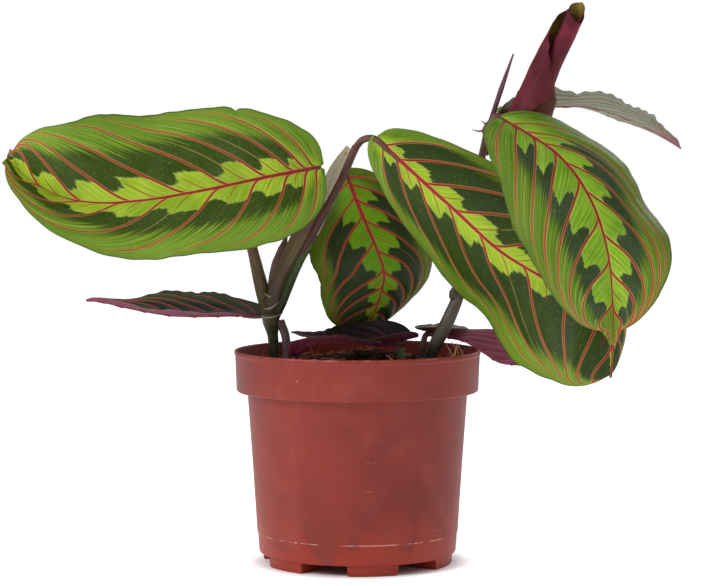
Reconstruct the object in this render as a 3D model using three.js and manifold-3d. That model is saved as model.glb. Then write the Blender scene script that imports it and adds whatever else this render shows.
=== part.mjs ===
// Potted prayer plant in a round nursery pot.
// Millimetres, +Z up. The origin is the middle of the pot's foot circle, on the surface it stands on.
import * as THREE from "three";
import { mergeVertices } from "three/addons/utils/BufferGeometryUtils.js";
import Module from "manifold-3d";

// Pot
const POT_HEIGHT = 104;
const RIM_RADIUS = 60;
const BAND_RADIUS = 59;
const BAND_BOTTOM = 84;
const BODY_TOP_RADIUS = 53.7;
const BODY_FOOT_RADIUS = 48;
const WALL = 1.2;
const FOOT_COUNT = 6;
const FOOT_HEIGHT = 5.2;
const FOOT_OUTER_RADIUS = 46.5;
const FOOT_INNER_RADIUS = 33;
const FOOT_ANGLE = 31;
const FIRST_FOOT_ANGLE = -80.6;
const DRAIN_RADIUS = 4;
const DRAIN_CIRCLE = 30;
const MOULD_LINE_Z = 15;
const POT_SEGMENTS = 60;

// Soil
const GAP = 0.4;
const SOIL_EDGE_Z = 96;
const SOIL_CROWN = 2.6;
const SOIL_RINGS = 10;
const SOIL_SEGMENTS = 36;
const STEM_DEPTH = 22;
const HOLE_CLEARANCE = 0.45;

// Leaves
const BLADE_THICKNESS = 0.7;
const NECK = 1.3;
const TIP = 0.35;
const JOINT_GAP = 0.35;
const BLADE_END = 0.965;

// Where the stems stand in the soil, and how thick they are there
const STEMS = {
  left: { foot: [-40, 0], radius: 2.7 },
  left_thin: { foot: [-34.5, -3], radius: 1.5 },
  stub: { foot: [21, -8], radius: 2.2 },
  right: { foot: [34.5, 0], radius: 2.7 },
  right_low: { foot: [32, 7], radius: 1.7 },
  under: { foot: [-29.6, -36.4], radius: 1.5 },
};

// The stems' parts: a path, then the half widths across the view and along it.
const STEM_PARTS = {
  main: { path: [[-40, 0, 74], [-40, 0, 90], [-40, 0, 104], [-40.8, 0, 112], [-41.2, 0, 121]],
    wide: [2.7, 2.7, 2.7, 3.0, 3.6], steps: 6, sides: 10 },
  sheathShort: { path: [[-41.5, 0, 116], [-44.5, 2, 126], [-47.8, 4, 138], [-50.5, 6.5, 149],
    [-53.2, 8.5, 159]],
    wide: [3.0, 3.6, 3.5, 3.1, 2.7, 2.6], deep: [3.0, 3.0, 2.8, 2.6, 2.5, 2.5], steps: 8, sides: 8 },
  sheathLong: { path: [[-40.5, 0, 117], [-39.2, -1, 127], [-34.6, -2, 142], [-27.5, -1.6, 158],
    [-18.5, -0.5, 174], [-9.6, 0, 190], [-4.4, 0, 201.5]],
    wide: [3.6, 4.4, 5.2, 5.9, 6.0, 5.5, 4.8, 4.6, 4.6, 4.2, 2.0],
    deep: [3.6, 4.0, 4.0, 3.6, 3.2, 2.7, 2.3, 2.0, 1.8, 1.6, 1.4], steps: 13, sides: 10 },
  rib: { path: [[-34, -0.5, 136], [-24.5, -1.2, 156], [-15.2, -0.6, 173], [-6.4, -0.4, 190],
    [-2.2, -0.4, 199.5], [-0.6, -1.0, 202.8]],
    wide: [2.0, 2.4, 2.3, 2.1, 2.0, 1.9], steps: 9, sides: 8 },
  bract: { path: [[-38.6, 2, 122], [-37.4, 2.6, 134], [-35.2, 3.0, 148], [-33.4, 3.2, 160]],
    wide: [1.6, 2.2, 2.9, 2.6, 0.5], deep: [1.4, 1.6, 1.5, 1.2, 0.5], steps: 8, sides: 8 },
  thin: { path: [[-34.5, -3, 74], [-34.5, -3, 90], [-34.5, -3, 104], [-35.1, -2.4, 111],
    [-37.7, -0.6, 118]],
    wide: [1.5, 1.5, 1.5, 1.7, 2.0], steps: 6, sides: 8 },
  right: { path: [[34.5, 0, 74], [34.5, 0, 86], [34.5, 0, 97], [37.5, 0, 106.5], [43.5, 0, 118],
    [50.5, 1.2, 134], [55, 2, 160], [59, 2, 190], [63.4, 0.6, 211]],
    wide: [2.7, 2.7, 2.7, 2.8, 2.9, 2.7, 2.3, 1.9, 1.8, 2.0], steps: 14, sides: 10 },
  stub: { path: [[21, -8, 74], [21, -8, 85], [21, -8, 95], [21.1, -8, 105.4]],
    wide: [2.2, 2.2, 2.2, 2.1, 2.1], steps: 5, sides: 12 },
};
const SWELLING = { centre: [-41.2, 0, 118.5], radius: 4.6, stretch: [0.95, 0.9, 1.35] };
const BUD = { centre: [47.2, 0.2, 131.5], radius: 2.5, stretch: [0.9, 0.9, 1.5] };
const CROWN = { centre: [64, 0, 212], radius: 3.4, stretch: [1, 1, 1.15] };
const SEAT_DEPTH = 7;
const ARCH_SEAT_RADIUS = 3;

// Each leaf: its midrib, the way its face looks, and for its left and right half the width, the lift out of
// the face's plane in degrees, the curl in degrees, the lobe at the base and the waves of the margin.
const LEAVES = {
  leaf_left: {
    mid: [[-18, -16, 193], [-45, -26, 188], [-74, -33, 182], [-102, -37, 177.5],
      [-123, -38, 176.5], [-140, -37, 179.5], [-155, -34, 186], [-168, -30, 193]],
    face: [[-0.1, -0.9, 0.35], [-0.1, -0.9, 0.35], [-0.1, -0.9, 0.35]],
    width: [[38, 35, 19], [41, 41.5, 41.5, 45.5, 44]], lift: [[0, 8, 45], [18, 8, 38]], curl: [25, 25],
    lobe: [2, 2], full: [0.35, 0.33], skew: 0.98, end: 0.985, tip: 3, wave: [0.8, 1], waves: 3,
    stalk: [[-52.9, 8.3, 157.6], [-54.2, 9.2, 168], [-49, 6, 182], [-37, -3, 191.5], [-25, -11.5, 194.5]],
    stalkRadius: [1.7, 1.7, 1.6, 1.4, 0.8], stalkSteps: 10,
    grid: { rows: 19, columns: 4 }, colour: 0x6f9a2c,
  },
  leaf_centre: {
    mid: [[-5, 16, 188], [0, 12, 175], [5, 9, 163], [10, 8, 151],
      [13, 9, 140], [10, 12, 126], [3, 18, 110]],
    face: [[0.1, -1, 0.3], [0, -1, 0.15], [0, -1, 0]],
    width: [[32, 34, 30], [32, 33, 40]], lift: [[-4, -38, -52], [-45, 5, 35]], curl: [30, 30],
    lobe: [4, 0], full: [0.5, 0.33], skew: 0.94, wave: [0.8, 0.8], waves: 3,
    stalk: [[-10, 1, 187.5], [-10.2, 6, 190.5], [-9.2, 12, 193.2], [-7, 16, 192]],
    stalkRadius: [1.3, 1.4, 1.3, 0.7], stalkSteps: 9,
    grid: { rows: 16, columns: 4 }, colour: 0x4f7a24,
  },
  leaf_long: {
    mid: [[10, -20, 206], [27, -28, 190], [47, -34, 172], [67, -38, 154],
      [87, -41, 140], [105, -44, 123], [116, -46, 108], [120, -48, 96]],
    face: [[0.2, -1, 0.3], [0.2, -1, 0.3], [0.2, -1, 0.3]],
    width: [[31, 34, 37, 31, 12], [37, 41, 44, 43, 50]], lift: [[-6, 15, -34], [-70, -68, -30]], curl: [30, 30],
    lobe: [2, 4], full: [0.32, 0.25], skew: 1.08, end: 0.99, tip: 1.5, wave: [1, 1], waves: 3,
    stalk: [[-0.4, -1.4, 202.9], [2, -5.6, 205.6], [5.2, -11.6, 206.8], [8, -16.6, 206.6]],
    stalkRadius: [1.7, 1.7, 1.5, 0.8], stalkSteps: 10,
    grid: { rows: 19, columns: 4 }, colour: 0x5f8a2a,
  },
  leaf_front: {
    mid: [[69, -18, 216], [82, -31, 208], [93, -41, 200], [103, -50, 188],
      [111, -56, 172], [116, -60, 153], [118, -60, 135], [118, -57, 116]],
    face: [[0.3, -0.8, 0.6], [0.2, -1, 0.3], [0.2, -1, 0]],
    width: [[34, 33.5, 35, 35, 29], [36, 40, 43]], lift: [[2, -20, -28, 9, 50], [1, -4, 14]], curl: [40, 40],
    lobe: [3, 3], full: [0.41, 0.36], skew: 1.04, end: 0.98, tip: 1, wave: [1, 1], waves: 3,
    stalk: [[64.3, -2.4, 212.9], [65.4, -8, 216.6], [67, -14, 217.6]],
    stalkRadius: [1.3, 1.4, 1.3, 0.7], stalkSteps: 8,
    grid: { rows: 18, columns: 4 }, colour: 0x659231,
  },
  leaf_back: {
    mid: [[71, 8, 220], [84, 27, 223], [99, 36, 223], [114, 42, 223],
      [127, 48, 220], [143, 57, 214], [158, 66, 207], [168, 73, 200]],
    face: [[0, 0, 1], [0, 0, 1], [0, 0, 1]],
    width: [[15, 19, 11], [12, 17, 12]], lift: [[-3, 3, 4], [62, 18, 9]], curl: [-15, -25],
    lobe: [2, 3], full: [0.42, 0.6], skew: 0.9, wave: [0.6, 1.2], waves: 4,
    stalk: [[65.4, 1.6, 213], [68.4, 4.8, 217.6], [69.8, 6.4, 219.4]],
    stalkRadius: [1.2, 1.3, 1.2, 0.7], stalkSteps: 7,
    grid: { rows: 16, columns: 3 }, colour: 0x8a8f74,
  },
  leaf_low_left: {
    mid: [[-48, 2, 121], [-58, 6, 121], [-77, 11, 120], [-92, 15, 120],
      [-107, 18, 122], [-118, 20, 124], [-127, 21, 126], [-134, 22, 127]],
    face: [[0, 0, 1], [0, 0, 1], [0, 0, 1]],
    width: [[18, 20, 15], [22, 25, 14]], lift: [[6, 11, 20], [20, 25, 6]], curl: [10, -20],
    lobe: [1, 1], full: [0.5, 0.42], skew: 0.86, wave: [0.4, 0.8], waves: 3,
    stalk: [[-44.2, 0.8, 119.4], [-46.6, 1.6, 120.4]],
    stalkRadius: [1.2, 1.2, 1, 0.6], stalkSteps: 6,
    grid: { rows: 14, columns: 3 }, colour: 0x3d3a34,
  },
  leaf_low_front: {
    mid: [[22, -8, 109], [13, -13, 108], [2, -17, 109],
      [-10, -20, 110], [-23, -22, 112], [-33, -23, 115]],
    face: [[0, 0, 1], [0, 0, 1], [0, 0, 1]],
    width: [[13, 14, 10], [20, 22, 12]], lift: [[16, 12, 8], [24, 24, 14]], curl: [10, -30],
    lobe: [8, 7], full: [0.42, 0.55], skew: 0.82, wave: [0.4, 0.8], waves: 2,
    stalk: [[21.1, -8, 104.6], [22, -7.6, 107.6]],
    stalkRadius: [1.3, 1.5, 1.1, 0.6], stalkSteps: 7,
    grid: { rows: 12, columns: 3 }, colour: 0x241f22,
  },
  leaf_low_under: {
    mid: [[-30, -36, 104], [-28, -37, 107], [-24, -39, 110], [-17, -40, 111],
      [-7, -38, 111], [2, -34, 110], [12, -29, 110]],
    face: [[0.3, -0.3, 1], [0, -0.2, 1], [0, -0.2, 1]],
    width: [[4, 4, 3], [9, 8, 6]], lift: [[20, 20, 20], [35, 35, 30]], curl: [10, 20],
    lobe: [0, 0], full: [0.3, 0.5], skew: 0.7, wave: [0.2, 0.4], waves: 2,
    stalk: [[-29.6, -36.4, 74], [-29.6, -36.4, 84], [-29.6, -36.4, 95], [-29.6, -36.4, 100]],
    stalkRadius: [1.5, 1.5, 1.5, 1.4, 1.2, 0.9, 0.6], stalkSteps: 10,
    grid: { rows: 10, columns: 2 }, colour: 0x6a2440,
  },
  leaf_low_right: {
    mid: [[37, 16, 111], [45, 22, 109], [54, 30, 106], [63, 37, 100],
      [72, 44, 94], [83, 49, 92], [95, 53, 89], [106, 56, 86]],
    face: [[0, 0, 1], [0, 0, 1], [0, 0, 1]],
    width: [[20, 22, 15], [18, 22, 15]], lift: [[14, 32, 20], [16, 22, 20]], curl: [-10, 15],
    lobe: [9, 11], full: [0.45, 0.5], skew: 0.9, wave: [0.6, 0.8], waves: 3,
    stalk: [[32, 7, 74], [32, 7, 84], [32, 7, 95], [32.2, 8.6, 104], [33.6, 12, 110]],
    stalkRadius: [1.7, 1.7, 1.7, 1.7, 1.5, 1.3, 0.7], stalkSteps: 11,
    grid: { rows: 14, columns: 3 }, colour: 0x6b3346,
  },
};

// The rolled leaf is a sheet wound about its axis, over a bulb that fills its foot.
const ROLL = {
  axis: [[66, 3.8, 203], [74, 3, 208], [82, 1.5, 215], [85.5, 1, 226], [90.5, 0, 240],
    [96.5, -2, 253], [104.5, -4, 267.5]],
  bulb: [[62.2, 3.2, 199], [65, 3.7, 202], [74, 3, 208], [81.5, 1.6, 214.5], [84.4, 1.2, 222]],
  bulbRadius: [1.3, 1.8, 3.4, 6.0, 8.4, 10.2, 11.3, 11.8, 11.9],
  start: 0.31,
  radius: [8, 11, 11.8, 10.5, 7.2, 5.9, 5.4, 5.0],
  seam: [-30, -15, 10, 30, 42, 20, -30, -80],
  turns: 1.4,
  tighten: 0.3,
  rows: 9,
  columns: 16,
};
const SPIKE = { path: [[64.4, -1.2, 214.6], [69.3, -3, 230], [75.2, -5, 247.5]], radius: [1.2, 1.2, 0.35] };

const wasm = await Module();
wasm.setup();

const vec = (p) => new THREE.Vector3(p[0], p[1], p[2]);
const rad = THREE.MathUtils.degToRad;
const clamp = THREE.MathUtils.clamp;
const group = new THREE.Group();

// Bodies made from points and triangles

function meshBody(points, triangles) {
  const geometry = new THREE.BufferGeometry();
  const places = points.flatMap((p) => [p.x, p.y, p.z]);
  geometry.setAttribute("position", new THREE.Float32BufferAttribute(places, 3));
  geometry.setIndex(triangles.flat());
  return geometry;
}

function toSolid(geometry) {
  const bare = geometry.index ? geometry.toNonIndexed() : geometry.clone();
  bare.deleteAttribute("normal");
  bare.deleteAttribute("uv");
  const merged = mergeVertices(bare, 1e-3);
  const mesh = new wasm.Mesh({
    numProp: 3,
    vertProperties: new Float32Array(merged.attributes.position.array),
    triVerts: new Uint32Array(merged.index.array),
  });
  return new wasm.Manifold(mesh);
}

function toGeometry(solid) {
  const mesh = solid.getMesh();
  const geometry = new THREE.BufferGeometry();
  const places = new Float32Array(mesh.vertProperties);
  geometry.setAttribute("position", new THREE.BufferAttribute(places, 3));
  geometry.setIndex(new THREE.BufferAttribute(new Uint32Array(mesh.triVerts), 1));
  return geometry;
}

function join(...solids) {
  return solids.reduce((a, b) => a.add(b));
}

// A value from evenly spaced stations, blended smoothly.
function smooth(values, t) {
  const x = clamp(t, 0, 1) * (values.length - 1);
  const i = Math.min(Math.floor(x), values.length - 2);
  const f = x - i;
  const k = f * f * (3 - 2 * f);
  if (Array.isArray(values[i])) {
    return values[i].map((v, n) => v * (1 - k) + values[i + 1][n] * k);
  }
  return values[i] * (1 - k) + values[i + 1] * k;
}

function linear(values, t) {
  const x = clamp(t, 0, 1) * (values.length - 1);
  const i = Math.min(Math.floor(x), values.length - 2);
  return values[i] + (values[i + 1] - values[i]) * (x - i);
}

function pathOf(points) {
  const curve = new THREE.CatmullRomCurve3(points.map(vec), false, "centripetal");
  curve.arcLengthDivisions = 600;
  return curve;
}

// A closed tube with an oval section. Its half widths are stations along the path: wide is across the
// path as seen from -Y, and deep is along that view.
function tube(points, wide, steps, sides, deep = wide) {
  const curve = pathOf(points);
  const ring = [];
  const triangles = [];
  for (let i = 0; i <= steps; i++) {
    const t = i / steps;
    const centre = curve.getPointAt(t);
    const tangent = curve.getTangentAt(t).normalize();
    const away = new THREE.Vector3(0, 1, 0);
    if (Math.abs(tangent.y) > 0.93) {
      away.set(0, 0, 1);
    }
    const across = new THREE.Vector3().crossVectors(tangent, away).normalize();
    const back = new THREE.Vector3().crossVectors(across, tangent).normalize();
    for (let j = 0; j < sides; j++) {
      const a = (2 * Math.PI * j) / sides;
      ring.push(centre.clone().addScaledVector(across, Math.cos(a) * linear(wide, t))
        .addScaledVector(back, Math.sin(a) * linear(deep, t)));
    }
  }
  const at = (i, j) => i * sides + (j % sides);
  for (let i = 0; i < steps; i++) {
    for (let j = 0; j < sides; j++) {
      triangles.push([at(i, j), at(i + 1, j + 1), at(i, j + 1)]);
      triangles.push([at(i, j), at(i + 1, j), at(i + 1, j + 1)]);
    }
  }
  for (let j = 1; j < sides - 1; j++) {
    triangles.push([at(0, 0), at(0, j), at(0, j + 1)]);
    triangles.push([at(steps, 0), at(steps, j + 1), at(steps, j)]);
  }
  return facingOut({ points: ring, triangles });
}

function signedVolume(points, triangles) {
  let sum = 0;
  for (const [a, b, c] of triangles) {
    sum += points[a].dot(new THREE.Vector3().crossVectors(points[b], points[c]));
  }
  return sum / 6;
}

function facingOut({ points, triangles }) {
  return toSolid(meshBody(points, outward(points, triangles)));
}

function outward(points, triangles) {
  return signedVolume(points, triangles) < 0 ? triangles.map(([a, b, c]) => [a, c, b]) : triangles;
}

function knob(centre, radius, stretch = [1, 1, 1]) {
  const ball = new THREE.SphereGeometry(radius, 10, 6);
  ball.scale(stretch[0], stretch[1], stretch[2]);
  ball.translate(centre[0], centre[1], centre[2]);
  return toSolid(ball);
}

// A sheet closed between two grids of points that share one triangle pattern.
function sheet(upper, lower) {
  const rows = upper.length;
  const columns = upper[0].length;
  const points = [...upper.flat(), ...lower.flat()];
  const base = rows * columns;
  const top = (i, j) => i * columns + j;
  const under = (i, j) => base + i * columns + j;
  const triangles = [];
  for (let i = 0; i < rows - 1; i++) {
    for (let j = 0; j < columns - 1; j++) {
      triangles.push([top(i, j), top(i, j + 1), top(i + 1, j + 1)]);
      triangles.push([top(i, j), top(i + 1, j + 1), top(i + 1, j)]);
      triangles.push([under(i, j), under(i + 1, j + 1), under(i, j + 1)]);
      triangles.push([under(i, j), under(i + 1, j), under(i + 1, j + 1)]);
    }
  }
  const edge = [];
  for (let j = 0; j < columns; j++) {
    edge.push([0, j]);
  }
  for (let i = 1; i < rows; i++) {
    edge.push([i, columns - 1]);
  }
  for (let j = columns - 2; j >= 0; j--) {
    edge.push([rows - 1, j]);
  }
  for (let i = rows - 2; i > 0; i--) {
    edge.push([i, 0]);
  }
  edge.forEach((a, n) => {
    const b = edge[(n + 1) % edge.length];
    triangles.push([top(...b), top(...a), under(...a)]);
    triangles.push([top(...b), under(...a), under(...b)]);
  });
  return facingOut({ points, triangles });
}

// Leaf blades

function outline(t, leaf) {
  const end = leaf.end ?? BLADE_END;
  const s = Math.sin(Math.PI * clamp(t / end, 0, 1) ** leaf.skew);
  return Math.max(s, 1e-9) ** smooth(leaf.full, t);
}

// Side 0 is left and side 1 right, looking from the base to the tip at the upper face.
function blade(leaf) {
  const curve = pathOf(leaf.mid);
  const { rows, columns } = leaf.grid;
  const upper = [];
  const lower = [];
  for (let i = 0; i <= rows; i++) {
    const even = i / rows;
    const t = ((1 - Math.cos(Math.PI * even)) / 2) * 0.6 + even * 0.4;
    const middle = curve.getPointAt(t);
    const along = curve.getTangentAt(t).normalize();
    const face = vec(smooth(leaf.face, t));
    face.addScaledVector(along, -face.dot(along)).normalize();
    const across = new THREE.Vector3().crossVectors(along, face);
    const top = [];
    const under = [];
    for (let j = -columns; j <= columns; j++) {
      const s = Math.sin((0.5 * Math.PI * j) / columns) * 0.35 + (j / columns) * 0.65;
      const side = s > 0 ? 1 : 0;
      const sign = s > 0 ? 1 : -1;
      const a = Math.abs(s);
      const neck = NECK * (1 - t) + (leaf.tip ?? TIP) * t;
      const width = Math.max(smooth(leaf.width[side], t) * outline(t, leaf), neck);
      const curl = rad(leaf.curl[side]);
      const start = rad(smooth(leaf.lift[side], t)) + curl / 2;
      const angle = start - curl * a;
      const x = (Math.sin(start) - Math.sin(angle)) / curl;
      const y = (Math.cos(angle) - Math.cos(start)) / curl;
      const lobe = leaf.lobe[side] * (1 - clamp(t / 0.3, 0, 1)) ** 2 * a ** 1.2;
      const turns = leaf.waves * t + 0.37 * side;
      const wave = leaf.wave[side] * a ** 3 * Math.sin(2 * Math.PI * turns) * Math.sin(Math.PI * t);
      const point = middle.clone().addScaledVector(across, sign * width * x)
        .addScaledVector(face, width * y + wave).addScaledVector(along, -lobe);
      const normal = j === 0 ? face.clone()
        : face.clone().multiplyScalar(Math.cos(angle)).addScaledVector(across, -sign * Math.sin(angle));
      const keel = j === 0 ? 0.9 * (1 - t) + 0.15 : 0;
      top.push(point.clone().addScaledVector(normal, BLADE_THICKNESS / 2));
      under.push(point.clone().addScaledVector(normal, -BLADE_THICKNESS / 2 - keel));
    }
    upper.push(top);
    lower.push(under);
  }
  return sheet(upper, lower);
}

// The stalk runs into the midrib on the underside of the blade.
function stalkInto(leaf, points, radii, steps) {
  const curve = pathOf(leaf.mid);
  const tail = [0.0, 0.05, 0.1].map((t) => {
    const p = curve.getPointAt(t);
    const along = curve.getTangentAt(t);
    const face = vec(smooth(leaf.face, t));
    face.addScaledVector(along, -face.dot(along)).normalize();
    return p.addScaledVector(face, -0.55).toArray();
  });
  return tube([...points, ...tail], radii, steps, 7);
}

// Materials and nodes

function node(name, solid, colour, roughness) {
  const material = new THREE.MeshStandardMaterial({ color: colour, roughness, metalness: 0 });
  const mesh = new THREE.Mesh(toGeometry(solid), material);
  mesh.name = name;
  group.add(mesh);
}

// The pot

function ringSector(inner, outer, from, to, z0, z1, pull) {
  const shape = new THREE.Shape();
  shape.absarc(0, 0, outer, from, to, false);
  shape.absarc(0, 0, inner, to, from, true);
  shape.closePath();
  const settings = { depth: z1 - z0, bevelEnabled: false, curveSegments: 5 };
  const geometry = new THREE.ExtrudeGeometry(shape, settings);
  geometry.translate(0, 0, z0);
  const position = geometry.attributes.position;
  const middle = (from + to) / 2;
  const centre = new THREE.Vector3(Math.cos(middle), Math.sin(middle), 0);
  centre.multiplyScalar((inner + outer) / 2);
  for (let i = 0; i < position.count; i++) {
    if (position.getZ(i) < z0 + 1e-4) {
      position.setX(i, centre.x + (position.getX(i) - centre.x) * pull);
      position.setY(i, centre.y + (position.getY(i) - centre.y) * pull);
    }
  }
  return toSolid(geometry);
}

function bodyRadius(z) {
  const share = (z - FOOT_HEIGHT) / (BAND_BOTTOM - FOOT_HEIGHT);
  return BODY_FOOT_RADIUS + (BODY_TOP_RADIUS - BODY_FOOT_RADIUS) * share;
}

function makePot() {
  const h = POT_HEIGHT;
  const floorZ = FOOT_HEIGHT + WALL;
  const inBand = BAND_RADIUS - WALL;
  const profile = [
    [0, FOOT_HEIGHT], [BODY_FOOT_RADIUS - 1.0, FOOT_HEIGHT], [BODY_FOOT_RADIUS - 0.3, FOOT_HEIGHT + 0.35],
    [BODY_FOOT_RADIUS, FOOT_HEIGHT + 1.1], [bodyRadius(MOULD_LINE_Z), MOULD_LINE_Z],
    [bodyRadius(MOULD_LINE_Z) + 0.25, MOULD_LINE_Z + 0.4],
    [BODY_TOP_RADIUS, BAND_BOTTOM + 0.2], [BAND_RADIUS - 0.7, BAND_BOTTOM],
    [BAND_RADIUS - 0.1, BAND_BOTTOM + 0.5],
    [RIM_RADIUS - 0.35, h - 2.2], [RIM_RADIUS, h - 1.5], [RIM_RADIUS, h - 0.5], [RIM_RADIUS - 0.5, h],
    [RIM_RADIUS - WALL + 0.2, h], [RIM_RADIUS - WALL - 0.2, h - 0.5], [inBand, BAND_BOTTOM + WALL],
    [BODY_TOP_RADIUS - WALL, BAND_BOTTOM + WALL], [bodyRadius(floorZ + 1) - WALL, floorZ + 1],
    [bodyRadius(floorZ) - WALL - 1, floorZ], [0, floorZ],
  ].map(([r, z]) => new THREE.Vector2(r, z));
  let pot = toSolid(turnedUp(new THREE.LatheGeometry(profile, POT_SEGMENTS)));
  for (let i = 0; i < FOOT_COUNT; i++) {
    const middle = FIRST_FOOT_ANGLE + (360 / FOOT_COUNT) * i;
    const from = rad(middle - FOOT_ANGLE / 2);
    const to = rad(middle + FOOT_ANGLE / 2);
    const foot = ringSector(FOOT_INNER_RADIUS, FOOT_OUTER_RADIUS, from, to, 0, FOOT_HEIGHT + 0.6, 0.94);
    pot = pot.add(foot);
  }
  for (let i = 0; i < FOOT_COUNT; i++) {
    const a = rad(FIRST_FOOT_ANGLE + (360 / FOOT_COUNT) * (i + 0.5));
    const drill = new THREE.CylinderGeometry(DRAIN_RADIUS, DRAIN_RADIUS, 8, 14);
    drill.rotateX(Math.PI / 2);
    drill.translate(DRAIN_CIRCLE * Math.cos(a), DRAIN_CIRCLE * Math.sin(a), floorZ);
    pot = pot.subtract(toSolid(drill));
  }
  return pot;
}

// A lathe turns about Y, so its axis is stood up along Z.
function turnedUp(geometry) {
  geometry.rotateX(Math.PI / 2);
  const position = geometry.attributes.position;
  const points = [];
  const triangles = [];
  for (let i = 0; i < position.count; i++) {
    points.push(new THREE.Vector3().fromBufferAttribute(position, i));
  }
  const index = geometry.index;
  for (let i = 0; i < index.count; i += 3) {
    triangles.push([index.getX(i), index.getX(i + 1), index.getX(i + 2)]);
  }
  return meshBody(points, outward(points, triangles));
}

// The soil and the stems that stand in it

function soilHeight(x, y) {
  const r = Math.hypot(x, y) / (RIM_RADIUS - WALL);
  const broad = 0.9 * Math.sin(0.23 * x + 1.3) * Math.cos(0.19 * y - 0.4);
  const fine = 0.6 * Math.sin(0.41 * x - 0.37 * y);
  return SOIL_EDGE_Z + SOIL_CROWN * (1 - r * r) + (broad + fine) * 0.7 * (1 - r ** 6);
}

function soilSide(z) {
  if (z > BAND_BOTTOM + WALL + GAP) {
    return BAND_RADIUS - WALL - GAP;
  }
  return bodyRadius(z) - WALL - GAP;
}

function makeSoil() {
  const bottomZ = FOOT_HEIGHT + WALL + GAP;
  const ledgeZ = BAND_BOTTOM + WALL + GAP;
  const points = [];
  const triangles = [];
  const edge = soilSide(ledgeZ + 1);
  const rings = [];
  for (let k = 1; k <= SOIL_RINGS; k++) {
    rings.push((edge * k) / SOIL_RINGS);
  }
  points.push(new THREE.Vector3(0, 0, soilHeight(0, 0)));
  for (const r of rings) {
    for (let j = 0; j < SOIL_SEGMENTS; j++) {
      const a = (2 * Math.PI * j) / SOIL_SEGMENTS;
      const x = r * Math.cos(a);
      const y = r * Math.sin(a);
      points.push(new THREE.Vector3(x, y, soilHeight(x, y)));
    }
  }
  const sides = [[edge, ledgeZ], [soilSide(ledgeZ - 0.5), ledgeZ], [soilSide(bottomZ + 1.4), bottomZ + 1.4],
    [soilSide(bottomZ) - 1.4, bottomZ]];
  for (const [r, z] of sides) {
    for (let j = 0; j < SOIL_SEGMENTS; j++) {
      const a = (2 * Math.PI * j) / SOIL_SEGMENTS;
      points.push(new THREE.Vector3(r * Math.cos(a), r * Math.sin(a), z));
    }
  }
  points.push(new THREE.Vector3(0, 0, bottomZ));
  const last = points.length - 1;
  const at = (k, j) => 1 + k * SOIL_SEGMENTS + (j % SOIL_SEGMENTS);
  const total = SOIL_RINGS + sides.length;
  for (let j = 0; j < SOIL_SEGMENTS; j++) {
    triangles.push([0, at(0, j), at(0, j + 1)]);
    for (let k = 0; k < total - 1; k++) {
      triangles.push([at(k, j), at(k + 1, j), at(k + 1, j + 1)]);
      triangles.push([at(k, j), at(k + 1, j + 1), at(k, j + 1)]);
    }
    triangles.push([last, at(total - 1, j + 1), at(total - 1, j)]);
  }
  let soil = facingOut({ points, triangles });
  for (const stem of Object.values(STEMS)) {
    const radius = stem.radius + HOLE_CLEARANCE;
    const drill = new THREE.CylinderGeometry(radius, radius, 60, 12);
    drill.rotateX(Math.PI / 2);
    drill.translate(stem.foot[0], stem.foot[1], SOIL_EDGE_Z - STEM_DEPTH - GAP + 30);
    soil = soil.subtract(toSolid(drill));
  }
  return soil;
}

// Clears the room that a stalk's end takes in the stem that holds it.
function seat(stem, start, next, radius) {
  const along = vec(next).sub(vec(start)).normalize();
  const drill = new THREE.CylinderGeometry(radius, radius, SEAT_DEPTH, 10);
  drill.applyQuaternion(new THREE.Quaternion().setFromUnitVectors(new THREE.Vector3(0, 1, 0), along));
  const middle = vec(start).addScaledVector(along, SEAT_DEPTH / 2 - JOINT_GAP);
  drill.translate(middle.x, middle.y, middle.z);
  return stem.subtract(toSolid(drill));
}

function seatLeaf(stem, leaf, radius = leaf.stalkRadius[0] + JOINT_GAP) {
  return seat(stem, leaf.stalk[0], leaf.stalk[1], radius);
}

function stemPart(part) {
  return tube(part.path, part.wide, part.steps, part.sides, part.deep);
}

function ball(shape) {
  return knob(shape.centre, shape.radius, shape.stretch);
}

function makeStemLeft() {
  const { main, sheathShort, sheathLong, rib, bract, thin } = STEM_PARTS;
  let all = join(stemPart(main), ball(SWELLING), stemPart(sheathShort), stemPart(sheathLong),
    stemPart(rib), stemPart(bract), stemPart(thin));
  all = seatLeaf(all, LEAVES.leaf_left);
  all = seatLeaf(all, LEAVES.leaf_centre);
  all = seatLeaf(all, LEAVES.leaf_long, ARCH_SEAT_RADIUS);
  return seatLeaf(all, LEAVES.leaf_low_left);
}

function makeStemRight() {
  let all = join(stemPart(STEM_PARTS.right), ball(BUD), ball(CROWN));
  all = seatLeaf(all, LEAVES.leaf_front);
  all = seatLeaf(all, LEAVES.leaf_back);
  all = seat(all, ROLL.bulb[0], ROLL.bulb[1], ROLL.bulbRadius[0] + JOINT_GAP);
  return seat(all, SPIKE.path[0], SPIKE.path[1], SPIKE.radius[0] + JOINT_GAP);
}

function makeStemStub() {
  return seatLeaf(stemPart(STEM_PARTS.stub), LEAVES.leaf_low_front);
}

// The rolled leaf

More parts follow.
